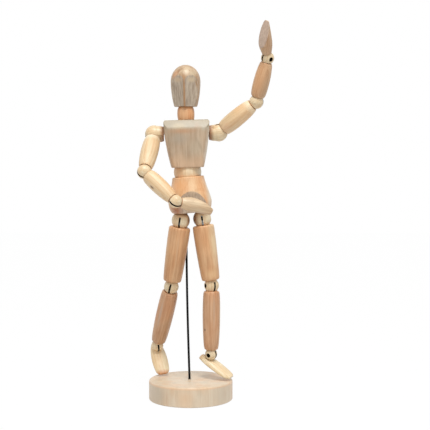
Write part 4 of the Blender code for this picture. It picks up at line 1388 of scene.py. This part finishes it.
@dataclass
class Foot:
    """A wedge: round heel, high instep, thin rounded toe and flat sole."""

    ball_radius: float = BALL_RADIUS["ankle"]
    heel: float = 0.0080
    toe: float = 0.0266
    half_width: float = 0.0072
    sole_below_ankle: float = 0.0088
    toe_thickness: float = 0.0022
    heel_top_share: float = 0.55
    instep_curve: float = 0.9
    widest_share: float = 0.56
    oval_share: float = 0.64
    toe_round_share: float = 0.9
    toe_oval_share: float = 0.125

    def section(self, share: float) -> tuple[float, float]:
        """The foot's half width and thickness.

        Args:
            share: How far from the heel to the toe, from 0 to 1.

        Returns:
            Half the width, and the height above the sole.
        """
        top_at_ankle = self.sole_below_ankle - CUP_SHARE * self.ball_radius
        ankle = self.heel / (self.heel + self.toe)
        width = self.half_width * math.sqrt(1 - ((share - self.widest_share) / self.oval_share) ** 2)
        if share > self.toe_round_share:
            width *= math.sqrt(max(0.02, 1 - ((share - self.toe_round_share) / self.toe_oval_share) ** 2))
        if share < ankle:
            rise = math.sin(math.pi / 2 * share / ankle)
            return width, top_at_ankle * (self.heel_top_share + (1 - self.heel_top_share) * rise)
        fall = math.cos(math.pi / 2 * (share - ankle) / (1 - ankle)) ** self.instep_curve
        return width, self.toe_thickness + (top_at_ankle - self.toe_thickness) * fall

    def model(self) -> Piece:
        """Draw the heel's section and pull it out to the toe, then cup the ankle.

        Returns:
            The foot, about the origin.
        """
        length = self.heel + self.toe
        shares = [0.0, 0.02, 0.05, 0.09, 0.14, 0.19] + [0.225 + 0.675 * step / 20 for step in range(21)]
        shares += [0.925, 0.945, 0.96, 0.975, 0.988, 1.0]
        sole = -self.sole_below_ankle
        width, thickness = self.section(0.0)
        piece = self.heel_section(width, thickness)
        for before, share in zip(shares, shares[1:]):
            next_width, next_thickness = self.section(share)
            step = length * (share - before)
            bpy.ops.mesh.extrude_region_move(TRANSFORM_OT_translate={"value": (0, -step, 0)})
            bpy.ops.transform.resize(value=(next_width / width, 1, next_thickness / thickness),
                                     center_override=(0, 0, sole))
            width, thickness = next_width, next_thickness
        close_up(piece)
        scoop(piece, self.ball_radius + CLEARANCE, Vector((0, 0, 0)))
        drill(piece, SHANK_RADIUS, Vector((0, 0, 0)), Vector((0, 0, -SHANK_DEPTH)))
        ease(piece, 0.0004, angle=50.0, segments=3)
        return piece

    def heel_section(self, width: float, thickness: float) -> Piece:
        """Cut a round disc flat along the sole, round its lower corners and size it.

        Args:
            width: Half the section's width.
            thickness: Its height above the sole.

        Returns:
            The piece, in edit mode with the section selected.
        """
        bpy.ops.object.select_all(action="DESELECT")
        bpy.ops.mesh.primitive_circle_add(vertices=56, radius=1.0, rotation=(math.pi / 2, 0, 0),
                                          fill_type="NGON")
        piece = new_piece("foot_first")
        open_up(piece)
        bpy.ops.mesh.bisect(plane_co=(0, 0, -0.12), plane_no=(0, 0, -1), clear_outer=True)
        bpy.ops.object.mode_set(mode="OBJECT")
        for vertex in piece.data.vertices:
            vertex.select = vertex.co.z < -0.119 and abs(vertex.co.x) > 0.9
        bpy.ops.object.mode_set(mode="EDIT")
        bpy.ops.mesh.bevel(offset=0.11, segments=4, affect="VERTICES")
        bpy.ops.mesh.select_all(action="SELECT")
        bpy.ops.transform.translate(value=(0, self.heel, -self.sole_below_ankle + 0.12))
        bpy.ops.transform.resize(value=(width, 1, thickness / 1.12),
                                 center_override=(0, self.heel, -self.sole_below_ankle))
        return piece

    def build(self, skeleton: Skeleton, nodes: dict[str, Piece]) -> None:
        """Set a foot on each ankle.

        Args:
            skeleton: Where they go.
            nodes: The frame's nodes.
        """
        first = self.model()
        for seed, side in enumerate(Side):
            end = hook_end(nodes, f"{side.label}_foot_hook", skeleton.point(f"{side.label}_ankle_bend"))
            frame = skeleton.hung(side, "ankle", end)
            piece = copy_of(first, f"{side.label}_foot_wood")
            set_in_place(piece, frame)
            along_foot = frame @ Matrix.Rotation(math.pi / 2, 4, "X")
            # Painted shade at the right foot's toe end, where it meets the base.
            toe = Patch((0.0, -0.0077, self.toe), (0.012, 0.008, 0.0046), (206, 138, 86), share=0.8,
                        ragged=0.6)
            # Painted shade on the back of the left foot's heel.
            heel = Patch((0.0, -0.0065, -0.0090), (0.012, 0.008, 0.0055), (214, 168, 124), share=0.7)
            wood = Timber(Tone.PALE_CREAM, patches=(toe,) if side is Side.RIGHT else (heel,))
            wood.dress(piece, along_foot, 9 + 4 * seed)
            mount(piece, f"{side.label}_foot")
        bpy.data.objects.remove(first, do_unlink=True)


@dataclass
class Trunk:
    """Sizes that the trunk's pieces share."""

    waist_radius: float = 0.0122
    waist_gap: float = 0.0082
    waist_half_height: float = 0.0080
    chest_height: float = 0.0419
    neck_pivot_above_chest: float = 0.0073
    neck_bottom_radius: float = 0.0070
    neck_seat_depth: float = 0.0030
    neck_seat_taper: float = 0.0010
    neck_radius: float = 0.00755
    neck_bore_radius: float = 0.0042

    @property
    def waist_cup(self) -> float:
        """The radius of the cups that hold the waist ball."""
        return self.waist_radius + CLEARANCE

    @property
    def chest_bottom(self) -> float:
        """The chest's underside above the waist."""
        return self.waist_gap / 2

    @property
    def chest_top(self) -> float:
        """The chest's top above the waist."""
        return self.chest_bottom + self.chest_height


@dataclass
class Pelvis:
    """A turned block, cupped above for the waist, with slanting saw cuts at the front and the back."""

    trunk: Trunk
    bottom_radius: float = 0.0148
    radius: float = 0.0193
    top_radius: float = 0.0142
    height: float = 0.0319
    widest_height: float = 0.0095
    front_cut: float = 0.0120
    back_cut: float = 0.0140
    cut_slope: float = 15.0
    flank_curve: float = 0.4
    hip_spacing: float = 0.0192
    hip_radius: float = BALL_RADIUS["hip"]
    bottom: float = 0.0064
    hip_bore_radius: float = 0.0028
    hip_bore_height: float = 0.0231
    spring_bore_radius: float = 0.0061
    spring_bore_depth: float = 0.0140
    rod_bore_radius: float = 0.00135
    rod_bore_height: float = 0.0143

    def cuts(self) -> tuple[SawnFace, SawnFace]:
        """The two slanting cuts, front and back."""
        slope = math.radians(self.cut_slope)
        across, down = math.cos(slope), -math.sin(slope)
        return (SawnFace(Vector((0, -self.front_cut, self.bottom)), Vector((0, -across, down))),
                SawnFace(Vector((0, self.back_cut, self.bottom)), Vector((0, across, down))))

    def profile(self) -> Points:
        """The block's section, from the spring's bore up, over the rim and down the flank.

        Returns:
            The (radius, height) points.
        """
        top = self.bottom + self.height
        waist, cup = top + self.trunk.waist_gap / 2, self.trunk.waist_cup
        floor_depth = self.trunk.waist_half_height + CLEARANCE
        rim_angle = math.pi - math.acos(self.trunk.waist_gap / 2 / cup)
        floor_angle = math.pi - math.acos(floor_depth / cup)
        edge = (self.top_radius - cup * math.sin(rim_angle)) / 2
        widest = self.bottom + self.widest_height
        points = [(self.spring_bore_radius, waist - self.spring_bore_depth),
                  (self.spring_bore_radius, waist - floor_depth)]
        points += arc(cup, floor_angle, rim_angle, 8, waist)
        points += rounded_edge(self.top_radius, top, edge)
        for step in range(1, 16):
            share = step / 16
            curved = (1 - math.cos(math.pi * share)) / 2
            grown = share + (curved - share) * self.flank_curve
            points.append((self.top_radius + (self.radius - self.top_radius) * grown,
                           top - edge + (widest - top + edge) * share))
        for step in range(13):
            angle = math.pi / 2 * step / 12
            points.append((self.bottom_radius + (self.radius - self.bottom_radius) * math.cos(angle),
                           widest + (self.bottom - widest) * math.sin(angle)))
        return points

    def build(self, skeleton: Skeleton, rod_top: Vector) -> None:
        """Turn the pelvis, saw it, and bore it for the hips, their springs and the rod.

        Args:
            skeleton: Where it goes.
            rod_top: Where the rod enters.
        """
        frame = skeleton.pelvis()
        piece = turned("pelvis_wood", self.profile())
        for face in self.cuts():
            saw(piece, face)
        for side in Side:
            hip = Vector((side.sign * self.hip_spacing / 2, 0, 0))
            scoop(piece, self.hip_radius + CLEARANCE, hip)
            drill(piece, self.hip_bore_radius, hip, hip + Vector((0, 0, self.hip_bore_height)))
        inward = frame.inverted()
        drill(piece, self.rod_bore_radius, inward @ rod_top,
              inward @ (rod_top + Vector((0, 0, self.rod_bore_height))))
        ease(piece, 0.0003, angle=24.0, segments=3)
        set_in_place(piece, frame)
        patches = (
            Patch((-0.0090, -0.015, 0.0310), (0.0100, 0.020, 0.0110), (244, 178, 118), share=0.6),
            Patch((0.0180, -0.004, 0.0200), (0.0060, 0.020, 0.0200), (232, 220, 194), share=0.7),
            Patch((0.0020, -0.016, 0.0300), (0.0050, 0.020, 0.0100), (252, 220, 176), share=0.5),
            Patch((-0.0135, -0.010, 0.0095), (0.0062, 0.020, 0.0066), (172, 108, 70), share=0.9, ragged=0.4),
        )
        wood = Timber(Tone.PELVIS, sawn=self.cuts(), patches=patches, ring_spacing=0.0034, rings=0.10)
        wood.dress(piece, frame, 2)
        mount(piece, "pelvis")


@dataclass
class Waist:
    """The short ball between the pelvis and the chest."""

    trunk: Trunk
    bore_radius: float = 0.0052

    def build(self, skeleton: Skeleton) -> None:
        """Turn the waist and dress it.

        Args:
            skeleton: Where it goes.
        """
        radius, half = self.trunk.waist_radius, self.trunk.waist_half_height
        top = math.acos(half / radius)
        profile = arc(radius, top, math.pi - top, 20) + [(self.bore_radius, -half), (self.bore_radius, half)]
        piece = turned("waist_wood", profile, ring=True)
        ease(piece, 0.0)
        frame = skeleton.waist()
        set_in_place(piece, frame)
        patches = (Patch((-0.0090, -0.010, 0.0), (0.0070, 0.02, 0.01), (232, 176, 122), share=0.6),
                   Patch((0.0110, -0.008, 0.0), (0.0060, 0.02, 0.01), (214, 204, 178), share=0.6))
        Timber(Tone.WAIST, patches=patches).dress(piece, frame, 6)
        mount(piece, "waist")


@dataclass
class Chest:
    """A tapered block with round corners and a slanting cut along its top edge, front and back."""

    trunk: Trunk
    bottom_half_width: float = 0.0142
    top_half_width: float = 0.0203
    side_swell: float = 0.0012
    half_depth: float = 0.0130
    corner_radius: float = 0.0042
    bevel_height: float = 0.0075
    bevel_depth: float = 0.0050
    shoulder_below_top: float = 0.0118
    shoulder_spot_radius: float = 0.0079
    shoulder_bore_radius: float = 0.0022
    spine_bore_radius: float = 0.0058
    spine_bore_height: float = 0.0155
    neck_bore_radius: float = 0.0058
    neck_bore_depth: float = 0.0170
    cutter_reach: float = 0.004
    front_rounding: float = 0.0070
    corner_rounding: float = 0.0022

    def half_width(self, height: float) -> float:
        """Half the chest's width at a height above the waist."""
        share = (height - self.trunk.chest_bottom) / self.trunk.chest_height
        swell = self.side_swell * 4 * share * (1 - share)
        return self.bottom_half_width + (self.top_half_width - self.bottom_half_width) * share + swell

    def cuts(self) -> tuple[SawnFace, SawnFace]:
        """The slanting cuts along the top edge, front and back."""
        foot = self.trunk.chest_top - self.bevel_height
        faces = []
        for front in (-1, 1):
            normal = Vector((0, front * self.bevel_height, self.bevel_depth)).normalized()
            faces.append(SawnFace(Vector((0, front * self.half_depth, foot)), normal))
        return faces[0], faces[1]

    def sanding(self) -> list[SawnFace]:
        """The cuts that round the front, back and end edges of the top."""
        faces = []
        for cut in self.cuts():
            wall = Vector((0, math.copysign(1, cut.normal.y), 0))
            faces += rounding(cut.point, wall, cut.normal, self.front_rounding, 5)
        for side in Side:
            wall = Vector((side.sign, 0, 0))
            corner = Vector((side.sign * self.half_width(self.trunk.chest_top), 0, self.trunk.chest_top))
            faces += rounding(corner, wall, Vector((0, 0, 1)), self.corner_rounding, 4)
        return faces

    def model(self) -> Piece:
        """Draw the underside, round its corners and pull it up, widening.

        Returns:
            The block, about the waist.
        """
        bottom = self.trunk.chest_bottom
        width = self.half_width(bottom)
        bpy.ops.object.select_all(action="DESELECT")
        bpy.ops.mesh.primitive_plane_add(size=1, location=(0, 0, bottom))
        piece = new_piece("chest_wood")
        open_up(piece)
        bpy.ops.transform.resize(value=(2 * width, 2 * self.half_depth, 1), center_override=(0, 0, bottom))
        bpy.ops.mesh.bevel(offset=self.corner_radius, segments=10, affect="VERTICES")
        bpy.ops.mesh.select_all(action="SELECT")
        steps = 16
        rise = self.trunk.chest_height / steps
        for step in range(1, steps + 1):
            next_width = self.half_width(bottom + rise * step)
            bpy.ops.mesh.extrude_region_move(TRANSFORM_OT_translate={"value": (0, 0, rise)})
            bpy.ops.transform.resize(value=(next_width / width, 1, 1), center_override=(0, 0, 0))
            width = next_width
        close_up(piece)
        return piece

    @staticmethod
    def patches() -> tuple[Patch, ...]:
        """The pale cut edge, the warm band under it, the grey and warm parts below, and painted highlights
        down the two rounded corners.
        """
        return (
            Patch((0.0, 0.0, 0.0500), (1.0, 1.0, 0.0135), (172, 161, 137), share=0.85, core=0.70, ragged=0.7),
            Patch((-0.0075, -0.010, 0.0405), (0.0075, 0.010, 0.0036), (196, 179, 146), share=0.7, ragged=0.9),
            Patch((0.0085, -0.010, 0.0395), (0.0026, 0.010, 0.0060), (186, 154, 128), share=0.5, core=0.0,
                  turn=18.0),
            Patch((0.0150, -0.010, 0.0385), (0.0040, 0.010, 0.0040), (190, 182, 162), share=0.6, ragged=0.9),
            Patch((-0.004, -0.013, 0.0362), (0.015, 0.020, 0.0030), (192, 146, 108), share=0.7, core=0.1,
                  ragged=0.9),
            Patch((0.0, -0.013, 0.0070), (0.030, 0.020, 0.0110), (224, 186, 148), share=0.6),
            Patch((-0.0060, -0.013, 0.0290), (0.0110, 0.020, 0.0060), (176, 162, 142), share=0.6),
            Patch((0.0060, -0.013, 0.0220), (0.0090, 0.020, 0.0120), (190, 174, 148), share=0.5),
            Patch((0.0107, -0.013, 0.0240), (0.0017, 0.020, 0.0105), (164, 142, 116), share=0.5, core=0.0,
                  ragged=0.5,
                  turn=-26.0),
            # Painted highlights: the two rounded corners made pale, as if lit from the sides.
            Patch((0.0205, -0.010, 0.0240), (0.0055, 0.020, 0.030), (236, 228, 212), share=0.8, turn=9.0),
            Patch((-0.0195, -0.010, 0.0200), (0.0045, 0.020, 0.026), (240, 218, 196), share=0.8, turn=-9.0),
        )

    def neck_socket(self) -> Piece:
        """Turn the cutter for the neck's seat and the room for its spring.

        Returns:
            The cutter.
        """
        trunk, top = self.trunk, self.trunk.chest_top
        pivot = top + trunk.neck_pivot_above_chest
        seat = trunk.neck_bottom_radius + CLEARANCE
        low = seat - trunk.neck_seat_taper
        floor = top - trunk.neck_seat_depth - CLEARANCE
        profile = [(seat, top + self.cutter_reach), (seat, top), (low, floor),
                   (self.neck_bore_radius, floor), (self.neck_bore_radius, pivot - self.neck_bore_depth)]
        return turned("neck_cutter", profile)

    def build(self, skeleton: Skeleton) -> None:
        """Shape the chest, bevel it, and bore it for the waist, the neck and the shoulders.

        Args:
            skeleton: Where it goes.
        """
        piece = self.model()
        for face in (*self.cuts(), *self.sanding()):
            saw(piece, face)
        height = self.trunk.chest_top - self.shoulder_below_top
        face_x, reach = self.half_width(height), 2 * self.top_half_width
        scoop(piece, self.trunk.waist_cup, Vector((0, 0, 0)))
        drill(piece, self.spine_bore_radius, Vector((0, 0, 0)), Vector((0, 0, self.spine_bore_height)))
        drill(piece, self.shoulder_bore_radius, Vector((-reach, 0, height)), Vector((reach, 0, height)))
        combine(piece, self.neck_socket())
        for side in Side:
            start = Vector((side.sign * face_x, 0, height))
            end = start + Vector((side.sign * self.cutter_reach, 0, 0))
            drill(piece, self.shoulder_spot_radius, start, end, BALL_SIDES)
        ease(piece, 0.00045, angle=24.0, segments=3)
        frame = skeleton.chest()
        set_in_place(piece, frame)
        wood = Timber(Tone.CHEST, patches=self.patches(), ring_spacing=0.0040, heart=(0.006, 0.034),
                      rings=0.08)
        wood.dress(piece, frame, 1)
        mount(piece, "chest")


@dataclass
class Neck:
    """A barrel with a domed top that the head rocks on."""

    trunk: Trunk
    top_above_pivot: float = 0.0058

    def build(self, skeleton: Skeleton) -> None:
        """Turn the neck and dress it.

        Args:
            skeleton: Where it goes.
        """
        trunk = self.trunk
        chest_top = -trunk.neck_pivot_above_chest
        dome = arc(trunk.neck_radius, math.acos(self.top_above_pivot / trunk.neck_radius), math.pi / 2, 12)
        side = []
        for step in range(1, 8):
            share = step / 8
            bulge = 4 * share * (1 - share) * CLEARANCE
            side.append((trunk.neck_radius + (trunk.neck_bottom_radius - trunk.neck_radius) * share + bulge,
                         chest_top * share))
        seat = [(trunk.neck_bottom_radius, chest_top),
                (trunk.neck_bottom_radius - trunk.neck_seat_taper, chest_top - trunk.neck_seat_depth)]
        bore = [(trunk.neck_bore_radius, chest_top - trunk.neck_seat_depth),
                (trunk.neck_bore_radius, self.top_above_pivot)]
        piece = turned("neck_wood", dome + side + seat + bore, ring=True)
        ease(piece, 0.0)
        frame = skeleton.neck()
        set_in_place(piece, frame)
        Timber(Tone.NECK).dress(piece, frame, 8)
        mount(piece, "neck")


@dataclass
class Head:
    """A turned egg on a cup, with two slanting cuts that meet at the line of the nose."""

    trunk: Trunk
    height: float = 0.0369
    radius: float = 0.01315
    bottom_radius: float = 0.0100
    widest_height: float = 0.0222
    bottom: float = 0.0044
    jaw_curve: float = 0.8
    face_cut_depth: float = 0.0086
    face_cut_slope: float = 7.9
    face_cut_angle: float = 29.0
    nose_round: float = 0.0013
    nose_reach: float = 0.00002
    nose_front: float = 0.004
    bore_height: float = 0.0145

    def cuts(self) -> tuple[SawnFace, SawnFace]:
        """The two flats of the face."""
        slope, angle = math.radians(self.face_cut_slope), math.radians(self.face_cut_angle)
        faces = []
        for side in Side:
            across, front = side.sign * math.sin(angle), -math.cos(angle)
            point = Vector((self.face_cut_depth * across, self.face_cut_depth * front, self.bottom))
            normal = Vector((across * math.cos(slope), front * math.cos(slope), -math.sin(slope)))
            faces.append(SawnFace(point, normal))
        return faces[0], faces[1]

    def profile(self) -> Points:
        """The head's section, from the spring's bore down, round the cup's rim and up to the crown.

        Returns:
            The (radius, height) points.
        """
        cup = self.trunk.neck_radius + CLEARANCE
        bore = self.trunk.neck_bore_radius + CLEARANCE
        widest = self.bottom + self.widest_height
        points = [(bore, self.bore_height)]
        points += arc(cup, math.asin(bore / cup), math.acos(self.bottom / cup), 8)
        for step in range(16, 0, -1):
            share = step / 16
            fullness = max(0.0, math.cos(math.pi / 2 * share)) ** self.jaw_curve
            points.append((self.bottom_radius + (self.radius - self.bottom_radius) * fullness,
                           widest - self.widest_height * share))
        crown = self.height - self.widest_height
        for step in range(24, 0, -1):
            angle = math.pi / 2 * step / 24
            points.append((self.radius * math.sin(angle), widest + crown * math.cos(angle)))
        points.append((0.0002, widest + crown))
        return points

    @staticmethod
    def patches() -> tuple[Patch, ...]:
        """The warm line of the nose, and the swirl of the grain over the crown."""
        return (
            Patch((-0.0002, -0.009, 0.018), (0.0012, 0.008, 0.026), (178, 132, 88), share=0.9, core=0.6,
                  ragged=0.25),
            Patch((-0.0055, -0.010, 0.0275), (0.0050, 0.010, 0.0030), (200, 174, 142), share=0.9, ragged=0.3),
            Patch((0.0060, -0.010, 0.0275), (0.0050, 0.010, 0.0030), (206, 184, 152), share=0.9, ragged=0.3),
            Patch((-0.0052, -0.009, 0.0345), (0.0012, 0.012, 0.0052), (150, 104, 68), share=0.7, core=0.1,
                  ragged=0.5, turn=20.0),
            Patch((-0.0085, -0.008, 0.0320), (0.0030, 0.010, 0.0050), (212, 150, 102), share=0.6, turn=25.0),
            Patch((0.0010, -0.006, 0.0350), (0.0042, 0.012, 0.0052), (222, 204, 168), share=0.7, turn=15.0),
            Patch((0.0075, -0.006, 0.0330), (0.0040, 0.010, 0.0040), (206, 190, 158), share=0.5, turn=-30.0),
        )

    def round_nose(self, piece: Piece) -> None:
        """Round the line where the two flats meet.

        Args:
            piece: The head, about the origin.
        """
        alone(piece)
        bpy.ops.object.mode_set(mode="EDIT")
        bpy.ops.mesh.select_mode(type="EDGE")
        bpy.ops.mesh.select_all(action="DESELECT")
        bpy.ops.object.mode_set(mode="OBJECT")
        lengths = {}
        for edge in piece.data.edges:
            first, second = (piece.data.vertices[index].co for index in edge.vertices)
            on_line = max(abs(first.x), abs(second.x)) < self.nose_reach
            if on_line and max(first.y, second.y) < -self.nose_front:
                lengths[edge.index] = (first - second).length
        longest = max(lengths, key=lengths.get)
        for edge in piece.data.edges:
            edge.select = edge.index == longest
        bpy.ops.object.mode_set(mode="EDIT")
        bpy.ops.mesh.bevel(offset=self.nose_round, segments=5, affect="EDGES")
        close_up(piece)

    def build(self, skeleton: Skeleton) -> None:
        """Turn the head, cut its two flats and dress it.

        Args:
            skeleton: Where it goes.
        """
        piece = turned("head_wood", self.profile())
        for face in self.cuts():
            saw(piece, face)
        self.round_nose(piece)
        ease(piece, 0.0003, angle=20.0, segments=3)
        frame = skeleton.head()
        set_in_place(piece, frame)
        wood = Timber(Tone.HEAD, sawn=self.cuts(), patches=self.patches(), ring_spacing=0.0036,
                      heart=(0.004, 0.022))
        wood.dress(piece, frame, 4)
        mount(piece, "head")


@dataclass
class Studio:
    """The pale floor, the soft lights and the camera."""

    camera_place: Vector = field(default_factory=lambda: Vector((0.02173, -0.950, 0.220)))
    camera_pitch: float = 3.31
    lens: float = 89.5
    sensor: float = 36.0
    floor_size: float = 4.0
    sky: float = 0.52
    floor_glow: float = 1.012
    floor_share: float = 0.97

    def build(self) -> None:
        """Set up the whole studio."""
        self.camera()
        self.floor()
        self.world()
        self.lamp("key", Vector((0.08, -0.48, 1.20)), 0.45, 9.0)
        self.lamp("fill", Vector((-0.05, -1.40, 0.45)), 1.4, 1.0)
        bpy.context.scene.view_settings.view_transform = "Standard"

    def camera(self) -> None:
        """Aim the camera as the photograph was taken."""
        bpy.ops.object.camera_add(location=self.camera_place,
                                  rotation=Euler((math.radians(90 - self.camera_pitch), 0, 0)))
        camera = bpy.context.active_object
        camera.data.lens = self.lens
        camera.data.sensor_width = self.sensor
        bpy.context.scene.camera = camera

    def floor(self) -> None:
        """Lay a pale floor that keeps the figure's shadow."""
        bpy.ops.object.select_all(action="DESELECT")
        bpy.ops.mesh.primitive_plane_add(size=self.floor_size)
        floor = new_piece("floor")
        graph = Graph("floor")
        graph.shader.inputs["Base Color"].default_value = (0.72, 0.72, 0.72, 1)
        graph.shader.inputs["Roughness"].default_value = 0.8
        graph.shader.inputs["Specular IOR Level"].default_value = 0.1
        seen = self._seen(graph.nodes)
        glow = graph.add("Emission", Strength=self.floor_glow)
        mix = graph.add("MixShader")
        graph.links.new(graph.math("MULTIPLY", seen, self.floor_share), mix.inputs[0])
        graph.links.new(graph.shader.outputs[0], mix.inputs[1])
        graph.links.new(glow.outputs[0], mix.inputs[2])
        graph.links.new(mix.outputs[0], graph.nodes["Material Output"].inputs["Surface"])
        floor.data.materials.append(graph.material)

    @staticmethod
    def _seen(nodes: bpy.types.Nodes) -> Socket:
        """Tell whether a ray comes from the camera, a mirror or glass.

        Args:
            nodes: The nodes to add to.

        Returns:
            A socket with 1 where it does.
        """
        path = nodes.new("ShaderNodeLightPath")
        links = path.id_data.links
        largest = path.outputs["Is Camera Ray"]
        for name in ("Is Glossy Ray", "Is Transmission Ray"):
            node = nodes.new("ShaderNodeMath")
            node.operation = "MAXIMUM"
            links.new(largest, node.inputs[0])
            links.new(path.outputs[name], node.inputs[1])
            largest = node.outputs[0]
        return largest

    def world(self) -> None:
        """Surround the figure with white, which lights it softly."""
        world = bpy.data.worlds.new("studio")
        world.use_nodes = True
        nodes, links = world.node_tree.nodes, world.node_tree.links
        strength = nodes.new("ShaderNodeMapRange")
        strength.inputs["To Min"].default_value = self.sky
        strength.inputs["To Max"].default_value = 1.0
        links.new(self._seen(nodes), strength.inputs["Value"])
        background = nodes["Background"]
        background.inputs["Color"].default_value = (1, 1, 1, 1)
        links.new(strength.outputs["Result"], background.inputs["Strength"])
        bpy.context.scene.world = world

    @staticmethod
    def lamp(name: str, place: Vector, size: float, power: float) -> None:
        """Hang a soft square lamp that faces the figure.

        Args:
            name: The lamp's name.
            place: Where it hangs.
            size: Its side.
            power: Its power in watts.
        """
        toward = Vector((0, 0, 0.17)) - place
        bpy.ops.object.light_add(type="AREA", location=place,
                                 rotation=toward.to_track_quat("-Z", "Y").to_euler())
        light = bpy.context.active_object
        light.name = name
        light.data.size = size
        light.data.energy = power


def dress_wires(nodes: dict[str, Piece]) -> None:
    """Give the springs and hooks inside the figure their metal, near black as partly painted shade in the
    slots.

    Args:
        nodes: The frame's nodes.
    """
    for name, node in nodes.items():
        if name.endswith(("_spring", "_hook")):
            Steel().dress(node)
            LOG.info("%s is plain wire", name)


def limbs() -> list[Limb]:
    """The four limbs, with their sizes and tones."""
    both = {Side.RIGHT: Tone.CREAM, Side.LEFT: Tone.CREAM}
    knot = Patch((0.0013, -0.0070, -0.0168), (0.0012, 0.0014, 0.0030), (100, 58, 34), share=0.95, ragged=0.3)
    pit = Patch((-0.0076, -0.0017, -0.0393), (0.0013, 0.0014, 0.0015), (100, 58, 34), share=0.9, ragged=0.3)
    upper_arms = {
        Side.RIGHT: (
            # Painted highlight: a near-white band round the top of the right upper arm.
            Patch((0.0, 0.0, -0.0050), (0.02, 0.02, 0.0075), (253, 243, 218), share=0.75),
            Patch((0.0050, 0.0020, -0.0160), (0.0050, 0.0060, 0.0100), (240, 196, 148), share=0.5),
        ),
        Side.LEFT: (
            Patch((0.0, 0.0, -0.0370), (0.02, 0.02, 0.0035), (250, 234, 200), share=0.6),
            Patch((0.0060, 0.0020, -0.0100), (0.0060, 0.0060, 0.0080), (226, 186, 150), share=0.5),
        ),
    }
    thighs = {
        Side.RIGHT: (
            Patch((-0.0080, -0.0030, -0.0280), (0.0035, 0.0100, 0.0300), (230, 182, 132), share=0.6,
                  ragged=0.6),
            Patch((0.0020, -0.0080, -0.0250), (0.0012, 0.0100, 0.0240), (222, 182, 140), share=0.5,
                  ragged=0.6),
            Patch((0.0070, -0.0040, -0.0300), (0.0030, 0.0100, 0.0280), (178, 130, 88), share=0.6,
                  ragged=0.6),
        ),
        Side.LEFT: (
            # Painted highlight down one edge of the left thigh.
            Patch((0.0070, -0.0040, -0.0200), (0.0050, 0.0100, 0.0260), (238, 212, 168), share=0.75,
                  ragged=0.6),
            Patch((-0.0050, -0.0060, -0.0260), (0.0030, 0.0100, 0.0220), (226, 176, 126), share=0.5,
                  ragged=0.6),
            Patch((0.0020, -0.0060, -0.0500), (0.0080, 0.0100, 0.0070), (236, 196, 146), share=0.6,
                  ragged=0.6),
        ),
    }
    shins = {
        Side.RIGHT: (
            # Painted highlight: a grey streak down the right shin.
            Patch((-0.0030, -0.0065, -0.0260), (0.0018, 0.0100, 0.0180), (208, 180, 156), share=0.7,
                  ragged=0.6),
            Patch((0.0, 0.0, -0.0600), (0.02, 0.02, 0.0075), (168, 118, 78), share=0.6),
        ),
        Side.LEFT: (
            pit,
            # Painted highlight down one edge of the left shin.
            Patch((0.0064, -0.0036, -0.0300), (0.0032, 0.0060, 0.0300), (224, 202, 160), share=0.7,
                  ragged=0.6),
            # Painted highlight: a grey streak down the left shin.
            Patch((-0.0015, -0.0062, -0.0220), (0.0012, 0.0060, 0.0240), (204, 170, 140), share=0.6,
                  ragged=0.6),
        ),
    }
    return [
        Limb("upper_arm", "shoulder", "elbow", 0.0438, 0.0062, 0.0055, 0.0018, both, upper_arms),
        Limb("forearm", "elbow", "wrist", 0.0395, 0.0059, 0.0049, 0.0016,
             {Side.RIGHT: Tone.CREAM, Side.LEFT: Tone.FOREARM}, {Side.RIGHT: (knot,)}),
        Limb("thigh", "hip", "knee", 0.0605, 0.0095, 0.0080, 0.0005,
             {Side.RIGHT: Tone.THIGH, Side.LEFT: Tone.THIGH}, thighs),
        Limb("shin", "knee", "ankle", 0.0618, 0.0071, 0.0063, 0.0011,
             {Side.RIGHT: Tone.SHIN, Side.LEFT: Tone.SHIN}, shins),
    ]


def balls() -> list[Ball]:
    """The six kinds of ball, with their sizes."""
    # Each hip ball gets a pale patch at the front, and a dark patch on one side that is painted shade under
    # the pelvis.
    hips = {
        Side.RIGHT: (
            Patch((0.0020, -0.0070, 0.0), (0.0060, 0.0060, 0.0090), (246, 232, 198), share=0.6),
            Patch((0.0080, -0.0020, 0.0020), (0.0024, 0.0080, 0.0075), (142, 94, 58), share=0.8, ragged=0.5),
        ),
        Side.LEFT: (
            Patch((0.0060, -0.0050, 0.0), (0.0048, 0.0060, 0.0090), (244, 230, 196), share=0.7),
            Patch((-0.0072, -0.0040, 0.0010), (0.0054, 0.0080, 0.0095), (134, 88, 54), share=0.9, ragged=0.6),
        ),
    }
    return [
        Ball("shoulder", collar_end=0.0088),
        Ball("elbow"),
        Ball("wrist", front_drilled=(Side.LEFT,)),
        Ball("hip", top_shade=0.9, patches=hips),
        Ball("knee", front_drilled=(Side.LEFT,)),
        Ball("ankle", front_drilled=(Side.LEFT,)),
    ]


def main() -> None:
    """Load the frame, build the figure on it and set up the studio."""
    logging.basicConfig(level=logging.INFO, format="%(name)s: %(message)s")
    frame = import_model()
    nodes = frame["nodes"]
    skeleton = Skeleton({joint["name"]: joint for joint in frame["joints"]})
    base = Base()
    rod = Rod(top=skeleton.point("pelvis_turn"))
    base.build(rod)
    rod.build(base.thickness)
    trunk = Trunk()
    Pelvis(trunk).build(skeleton, rod.top)
    Waist(trunk).build(skeleton)
    Chest(trunk).build(skeleton)
    Neck(trunk).build(skeleton)
    Head(trunk).build(skeleton)
    for limb in limbs():
        limb.build(skeleton)
    for ball in balls():
        ball.build(skeleton)
    Hand().build(skeleton, nodes)
    Foot().build(skeleton, nodes)
    dress_wires(nodes)
    Studio().build()


if __name__ == "__main__":
    main()
